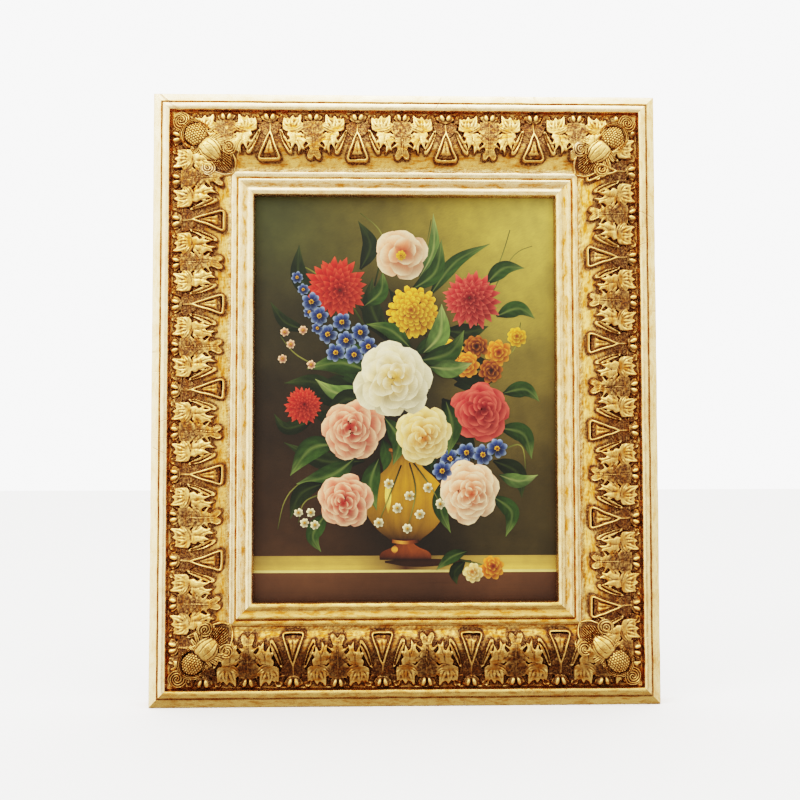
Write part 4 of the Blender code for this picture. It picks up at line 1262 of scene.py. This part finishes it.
# Stems: points, half width, level
stems = [
    ([(-34, 60), (-60, 100), (-98, 128), (-110, 124)], 1.0, 0.05),
    ([(20, 60), (18, 120), (26, 176)], 0.9, 0.04), ([(60, 60), (92, 130), (104, 166)], 0.8, 0.045),
    ([(70, 70), (104, 136), (126, 150)], 0.6, 0.046), ([(-60, 20), (-104, 40), (-122, 60)], 0.8, 0.05),
    ([(70, 20), (106, 46), (114, 74)], 0.8, 0.052), ([(-60, -90), (-96, -100), (-104, -122)], 0.7, 0.05),
    ([(80, -60), (112, -46), (118, -70)], 0.7, 0.054), ([(-4, -66), (-14, -92), (-26, -122)], 0.7, 0.86),
    ([(4, -64), (10, -92), (2, -128)], 0.7, 0.865), ([(8, -64), (24, -86), (34, -104)], 0.7, 0.87),
    ([(-66, -60), (-112, -92), (-124, -128)], 0.7, 0.055),
    ([(52, -158), (70, -162), (84, -166)], 1.0, 0.44), ([(-30, 110), (-22, 158), (-44, 182)], 0.8, 0.056),
]
vase = {
    "bowl": {"from": -50, "to": -140, "half": (16, 13, 17, 27, 35, 39, 40, 38, 33, 25, 14), "paint": "gold",
             "level": 0.26},
    "foot": {"from": -138, "to": -158, "half": (9, 8, 13, 22, 25, 25), "paint": "copper", "level": 0.27},
    "highlightAt": -0.42,
    "rings": [([(-13, -140), (0, -141.5), (13, -140)], 1.6), ([(-16, -51), (0, -53.5), (16, -51)], 1.4)],
    "ringLevel": 0.29,
}
ledge = {
    "back": -154.0,
    "edge": -169.0,
    "end": -199.0,
    "past": 3,
    "top": paint(214, 186, 112),
    "lip": paint(250, 236, 176),
    "front": paint(112, 78, 54),
    "shadow": paint(84, 52, 26),
}
filler = {
    "count": 44,
    "centre": (-2, 6),
    "ring": (38, 62),
    "length": (30, 48),
    "bend": 8,
    "half": (6, 9),
    "dim": (0.5, 0.85),
    "level": 0.03,
}
board = {"bevel": 0.0004, "cuts": 72}


def makeBoard():
    low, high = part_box("painted_panel")
    middle = [(a + b) / 2 for a, b in zip(low, high)]
    deselectAll()
    bpy.ops.mesh.primitive_cube_add(size=1, location=middle)
    piece = newPiece("painted_board")
    piece.scale = [b - a for a, b in zip(low, high)]
    bpy.ops.object.transform_apply(location=True, rotation=True, scale=True)
    bpy.ops.object.mode_set(mode="EDIT")
    bpy.ops.mesh.select_all(action="SELECT")
    bpy.ops.mesh.bevel(offset=board["bevel"], segments=2, affect="EDGES")
    bpy.ops.mesh.select_all(action="DESELECT")
    bpy.ops.object.mode_set(mode="OBJECT")
    for face in piece.data.polygons:
        face.select = face.normal.y < -0.99
    bpy.ops.object.mode_set(mode="EDIT")
    bpy.ops.mesh.subdivide(number_cuts=board["cuts"])
    bpy.ops.object.mode_set(mode="OBJECT")
    mesh = piece.data
    places = coordinatesOf(mesh)
    x, y = places[:, 0] / milli, (places[:, 2] - frameCentre) / milli
    total, colour = np.zeros(len(x)), np.zeros((len(x), 3))
    for (atX, atY), tone in picture["grounds"]:
        weight = np.exp(-((x - atX)**2 + (y - atY)**2) / picture["groundReach"]**2) + 1e-6
        total += weight
        colour += weight[:, None] * tone
    colour /= total[:, None]
    colour *= (1 + 0.1 * waves(x, y, 60, 5) + 0.05 * waves(x, y, 18, 6))[:, None]
    writeColour(mesh, "paint", *np.clip(colour, 0, 1).T)
    writeVector(mesh, "brush", np.stack([x * 0.6 + y * 0.5, y * 0.8 - x * 0.4, x * 0], axis=1) * milli)
    mesh.materials.append(oilPaint)
    mesh.materials.append(boardBack)
    for face in mesh.polygons:
        face.material_index = 0 if face.normal.y < -0.5 else 1
    finishPiece(piece, "painted_panel")
    return low[1]


def paintLedge(sheet):
    top, lip, front, shadow = (ledge[word] for word in ("top", "lip", "front", "shadow"))
    half = picture["halfWide"] + ledge["past"]

    def band(at, wide, tones, level, lit=0.0):
        stroke(sheet, [(-half, at), (0, at), (half, at)], [wide] * 6, tones, level, lit=lit)
    middle = (ledge["back"] + ledge["edge"]) / 2
    band(middle, middle - ledge["edge"], [top * 0.6, top, top * 0.9, shadow, top * 0.6, top * 1.1, top * 0.9],
         0.02, 0.25)
    band(ledge["edge"], 1.3, [lip * 0.7, lip, lip * 0.8, lip * 0.6, lip, lip * 0.8], 0.024)
    middle = (ledge["edge"] + ledge["end"]) / 2
    band(middle, middle - ledge["end"], [front * 0.8, front, front * 0.7, front * 0.55, front, front * 0.7],
         0.022, -0.3)
    stroke(sheet, [(-20, -160), (20, -161), (64, -159)], [1, 3.4, 4, 3.4, 2, 0.4],
           [shadow * 0.5, shadow * 0.5, shadow], 0.028)


def paintVase(sheet):
    for part in (vase["bowl"], vase["foot"]):
        shade, full, light = paints[part["paint"]]
        start, end = part["from"], part["to"]
        stroke(sheet, [(0, start), (0, (start + end) / 2), (0, end)], part["half"],
               [shade, full * 0.8, full, full, full * 0.8, full * 0.5, shade], part["level"], lit=-0.32)
        side = vase["highlightAt"] * max(part["half"])
        high = [(side, start * (1 - s) + end * s) for s in (0.3, 0.5, 0.7)]
        stroke(sheet, high, [0.3, 2.4, 3.2, 2.4, 0.3], [full, light, light, full], part["level"] + 0.006)
    shade, full, light = paints["copper"]
    for line, half in vase["rings"]:
        stroke(sheet, line, [half] * 5, [full, light, full, shade], vase["ringLevel"])


def paintFlowers(sheet):
    for kind, at, size, face, name, level in flowers:
        level = makeBloom(sheet, kind, at, size, face, name, level, *bloomPetals.get(kind, ()))
        if kind == "poppy":
            makeBloom(sheet, "small", at, 5, (0, 0), "yellow", level)
    for name, size, level, spots in clusters:
        for number, spot in enumerate(spots):
            face = (0.3 * math.sin(number * 2.1), 0.2)
            level = makeBloom(sheet, "daisy", spot, size, face, name, level)
            makeBloom(sheet, "daisy", spot, size * 0.26, (0, 0), "yellow", level)
            level += picture["step"]


def paintLeaves(sheet):
    # Dark leaves behind the bouquet, all round it
    chance = np.random.RandomState(8)
    for number in range(filler["count"]):
        angle = math.tau * number / filler["count"] + chance.uniform(-0.1, 0.1)
        start = toward(filler["centre"], angle, chance.uniform(*filler["ring"]))
        tip = toward(start, angle + chance.uniform(-0.7, 0.7), chance.uniform(*filler["length"]))
        middle = ((start[0] + tip[0]) / 2, (start[1] + tip[1]) / 2)
        bend = toward(middle, angle + 1.57, chance.uniform(-filler["bend"], filler["bend"]))
        shade, full, _ = paints["deepLeaf" if number % 3 else "leaf"]
        half, dim = chance.uniform(*filler["half"]), chance.uniform(*filler["dim"])
        stroke(sheet, [start, bend, tip], [half * w for w in petalShapes["leaf"]],
               [shade * dim, full * dim, full * dim, full * dim], filler["level"] + 0.0006 * number,
               lit=0.25, rib=full, veins=5.0)
    for number, (start, bend, tip, half, name, level) in enumerate(leaves):
        shade, full, light = paints[name]
        glow = 0.95 if bend[0] < 0 or bend[1] > 60 else 0.75
        stroke(sheet, [start, bend, tip], [half * w for w in petalShapes["leaf"]],
               [shade, full * glow, full * glow, full * 0.6 + light * 0.4], level + 0.0005 * number,
               lit=0.34 if tip[1] > start[1] else -0.34, rib=light * glow, veins=5.0)


def paintStems(sheet):
    shade, full, light = paints["stem"]
    for points, half, level in stems:
        widths = [half, half, half * 0.8, half * 0.5]
        stroke(sheet, points, widths, [shade, full, light, full], level, lit=0.3)


def makeOilPaint():
    # Oil paint with brush marks along each stroke, under a thin varnish
    material, tree, shader = newMaterial("oil paint")
    bristles = noiseNode(tree, stretched(tree, attributeOf(tree, "brush"), (0.16, 1, 1)), 1300, 3, 0.6)
    cloud = noiseNode(tree, addNode(tree, "ShaderNodeTexCoord").outputs["Object"], 90, 4)
    tone = mathNode(tree, "ADD", rangeNode(tree, bristles, 0.25, 0.75, -0.1, 0.1),
                    rangeNode(tree, cloud, 0.3, 0.7, 0.94, 1.06))
    feed(tree, shader, "Base Color", toneBy(tree, attributeOf(tree, "paint", "Color"), tone))
    feed(tree, shader, "Roughness", rangeNode(tree, bristles, 0.3, 0.7, 0.42, 0.58))
    feed(tree, shader, "Specular IOR Level", 0.22)
    feed(tree, shader, "Coat Weight", 0.06)
    feed(tree, shader, "Coat Roughness", 0.3)
    addBump(tree, shader, bristles, 0.3, 0.00025)
    return material


def makeBoardBack():
    material, tree, shader = newMaterial("bare board")
    place = addNode(tree, "ShaderNodeTexCoord").outputs["Object"]
    fibre = noiseNode(tree, place, 900, 5, 0.7)
    cloud = noiseNode(tree, place, 14, 3)
    colour = mixNode(tree, rangeNode(tree, cloud, 0.3, 0.7), (0.105, 0.055, 0.03), (0.13, 0.072, 0.04))
    colour = mixNode(tree, rangeNode(tree, fibre, 0.5, 0.75, 0, 0.5), colour, (0.19, 0.115, 0.066))
    feed(tree, shader, "Base Color", colour)
    feed(tree, shader, "Roughness", 0.85)
    addBump(tree, shader, fibre, 0.35, 0.0002)
    return material


oilPaint = makeOilPaint()
boardBack = makeBoardBack()
boardFront = -makeBoard() - wholeFrame["wallGap"]
for name, fill, along, across in (
    ("painted_ledge", paintLedge, 60, 4), ("painted_vase", paintVase, 28, 16),
    ("painted_stems", paintStems, 20, 2), ("painted_leaves", paintLeaves, 24, 8),
    ("painted_flowers", paintFlowers, 8, 6),
):
    sheet = []
    fill(sheet)
    makeStrokes(name, sheet, along, across)
print("painting made")

for name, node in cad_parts.items():
    if name.startswith(("framing_point", "sawtooth", "hanger_nail")):
        node.data.materials.clear()
        node.data.materials.append(zincPlate)

# Stage, light and camera

stage = {
    "floorAt": -0.5596,
    "floorSize": 12.0,
    "floorColour": (0.82, 0.82, 0.82),
    "backdrop": (3.4, 3.4, 3.4),
    "below": (1.05, 0.98, 0.86),
    "left": (2.3, 2.26, 2.18),
    "right": (1.6, 1.57, 1.52),
    "above": (3.1, 3.05, 2.95),
    "facing": (0.36, 0.34, 0.31),
    "dimAt": (0.05, -0.99, -0.12),
}
camera = {
    "place": (-0.0374, -1.0959, -0.3181),
    "tilt": 2.72,
    "turn": -1.72,
    "roll": 0.08,
    "lens": 49.5,
}

deselectAll()
bpy.ops.mesh.primitive_plane_add(size=stage["floorSize"], location=(0, 0, stage["floorAt"]))
floor = newPiece("floor")
floorMaterial, floorTree, floorShader = newMaterial("pale floor")
feed(floorTree, floorShader, "Base Color", stage["floorColour"])
feed(floorTree, floorShader, "Roughness", 0.9)
floor.data.materials.append(floorMaterial)
floor.visible_glossy = False

# The camera sees a plain pale backdrop. The room is bright above and to the sides, dimmer below and ahead
world = bpy.data.worlds.new("studio")
bpy.context.scene.world = world
world.use_nodes = True
tree = world.node_tree
background = tree.nodes["Background"]
direction = addNode(tree, "ShaderNodeTexCoord").outputs["Generated"]
upward = addNode(tree, "ShaderNodeSeparateXYZ")
feed(tree, upward, 0, direction)
room = mixNode(tree, rangeNode(tree, upward.outputs[0], -0.5, 0.5), stage["left"], stage["right"])
room = mixNode(tree, rangeNode(tree, upward.outputs[2], -0.5, -0.02), stage["below"], room)
room = mixNode(tree, rangeNode(tree, upward.outputs[2], 0.1, 0.6), room, stage["above"])
ahead = addNode(tree, "ShaderNodeVectorMath", operation="DOT_PRODUCT")
feed(tree, ahead, 0, direction)
feed(tree, ahead, 1, stage["dimAt"])
room = mixNode(tree, rangeNode(tree, ahead.outputs["Value"], 0.93, 0.99, 0.0, 0.8), room, stage["facing"])
seen = addNode(tree, "ShaderNodeLightPath").outputs["Is Camera Ray"]
feed(tree, background, "Color", mixNode(tree, seen, room, stage["backdrop"]))
bpy.context.scene.view_settings.view_transform = "Filmic"
bpy.context.scene.view_settings.look = "High Contrast"

lamps = {
    "key": {"place": (-1.2, -1.3, 1.2), "aim": (0, 0, -0.26), "size": 0.7, "power": 15},
    "top": {"place": (0.1, -0.7, 1.5), "aim": (0, 0, -0.26), "size": 0.9, "power": 10},
}
for name, lamp in lamps.items():
    deselectAll()
    bpy.ops.object.light_add(type="AREA", location=lamp["place"])
    light = bpy.context.object
    light.name = f"{name}_light"
    light.data.size = lamp["size"]
    light.data.energy = lamp["power"]
    light.rotation_euler = (Vector(lamp["aim"]) - Vector(lamp["place"])).to_track_quat("-Z", "Y").to_euler()

deselectAll()
bpy.ops.object.camera_add(location=camera["place"])
eye = bpy.context.object
turned = Matrix.Rotation(math.radians(camera["turn"]), 3, "Z")
for axis, angle in (("X", camera["tilt"]), ("Y", camera["roll"]), ("X", 90)):
    turned = turned @ Matrix.Rotation(math.radians(angle), 3, axis)
eye.rotation_euler = turned.to_euler()
eye.data.lens = camera["lens"]
eye.data.sensor_width = 36
eye.data.clip_start = 0.01
bpy.context.scene.camera = eye
print("stage, light and camera set")
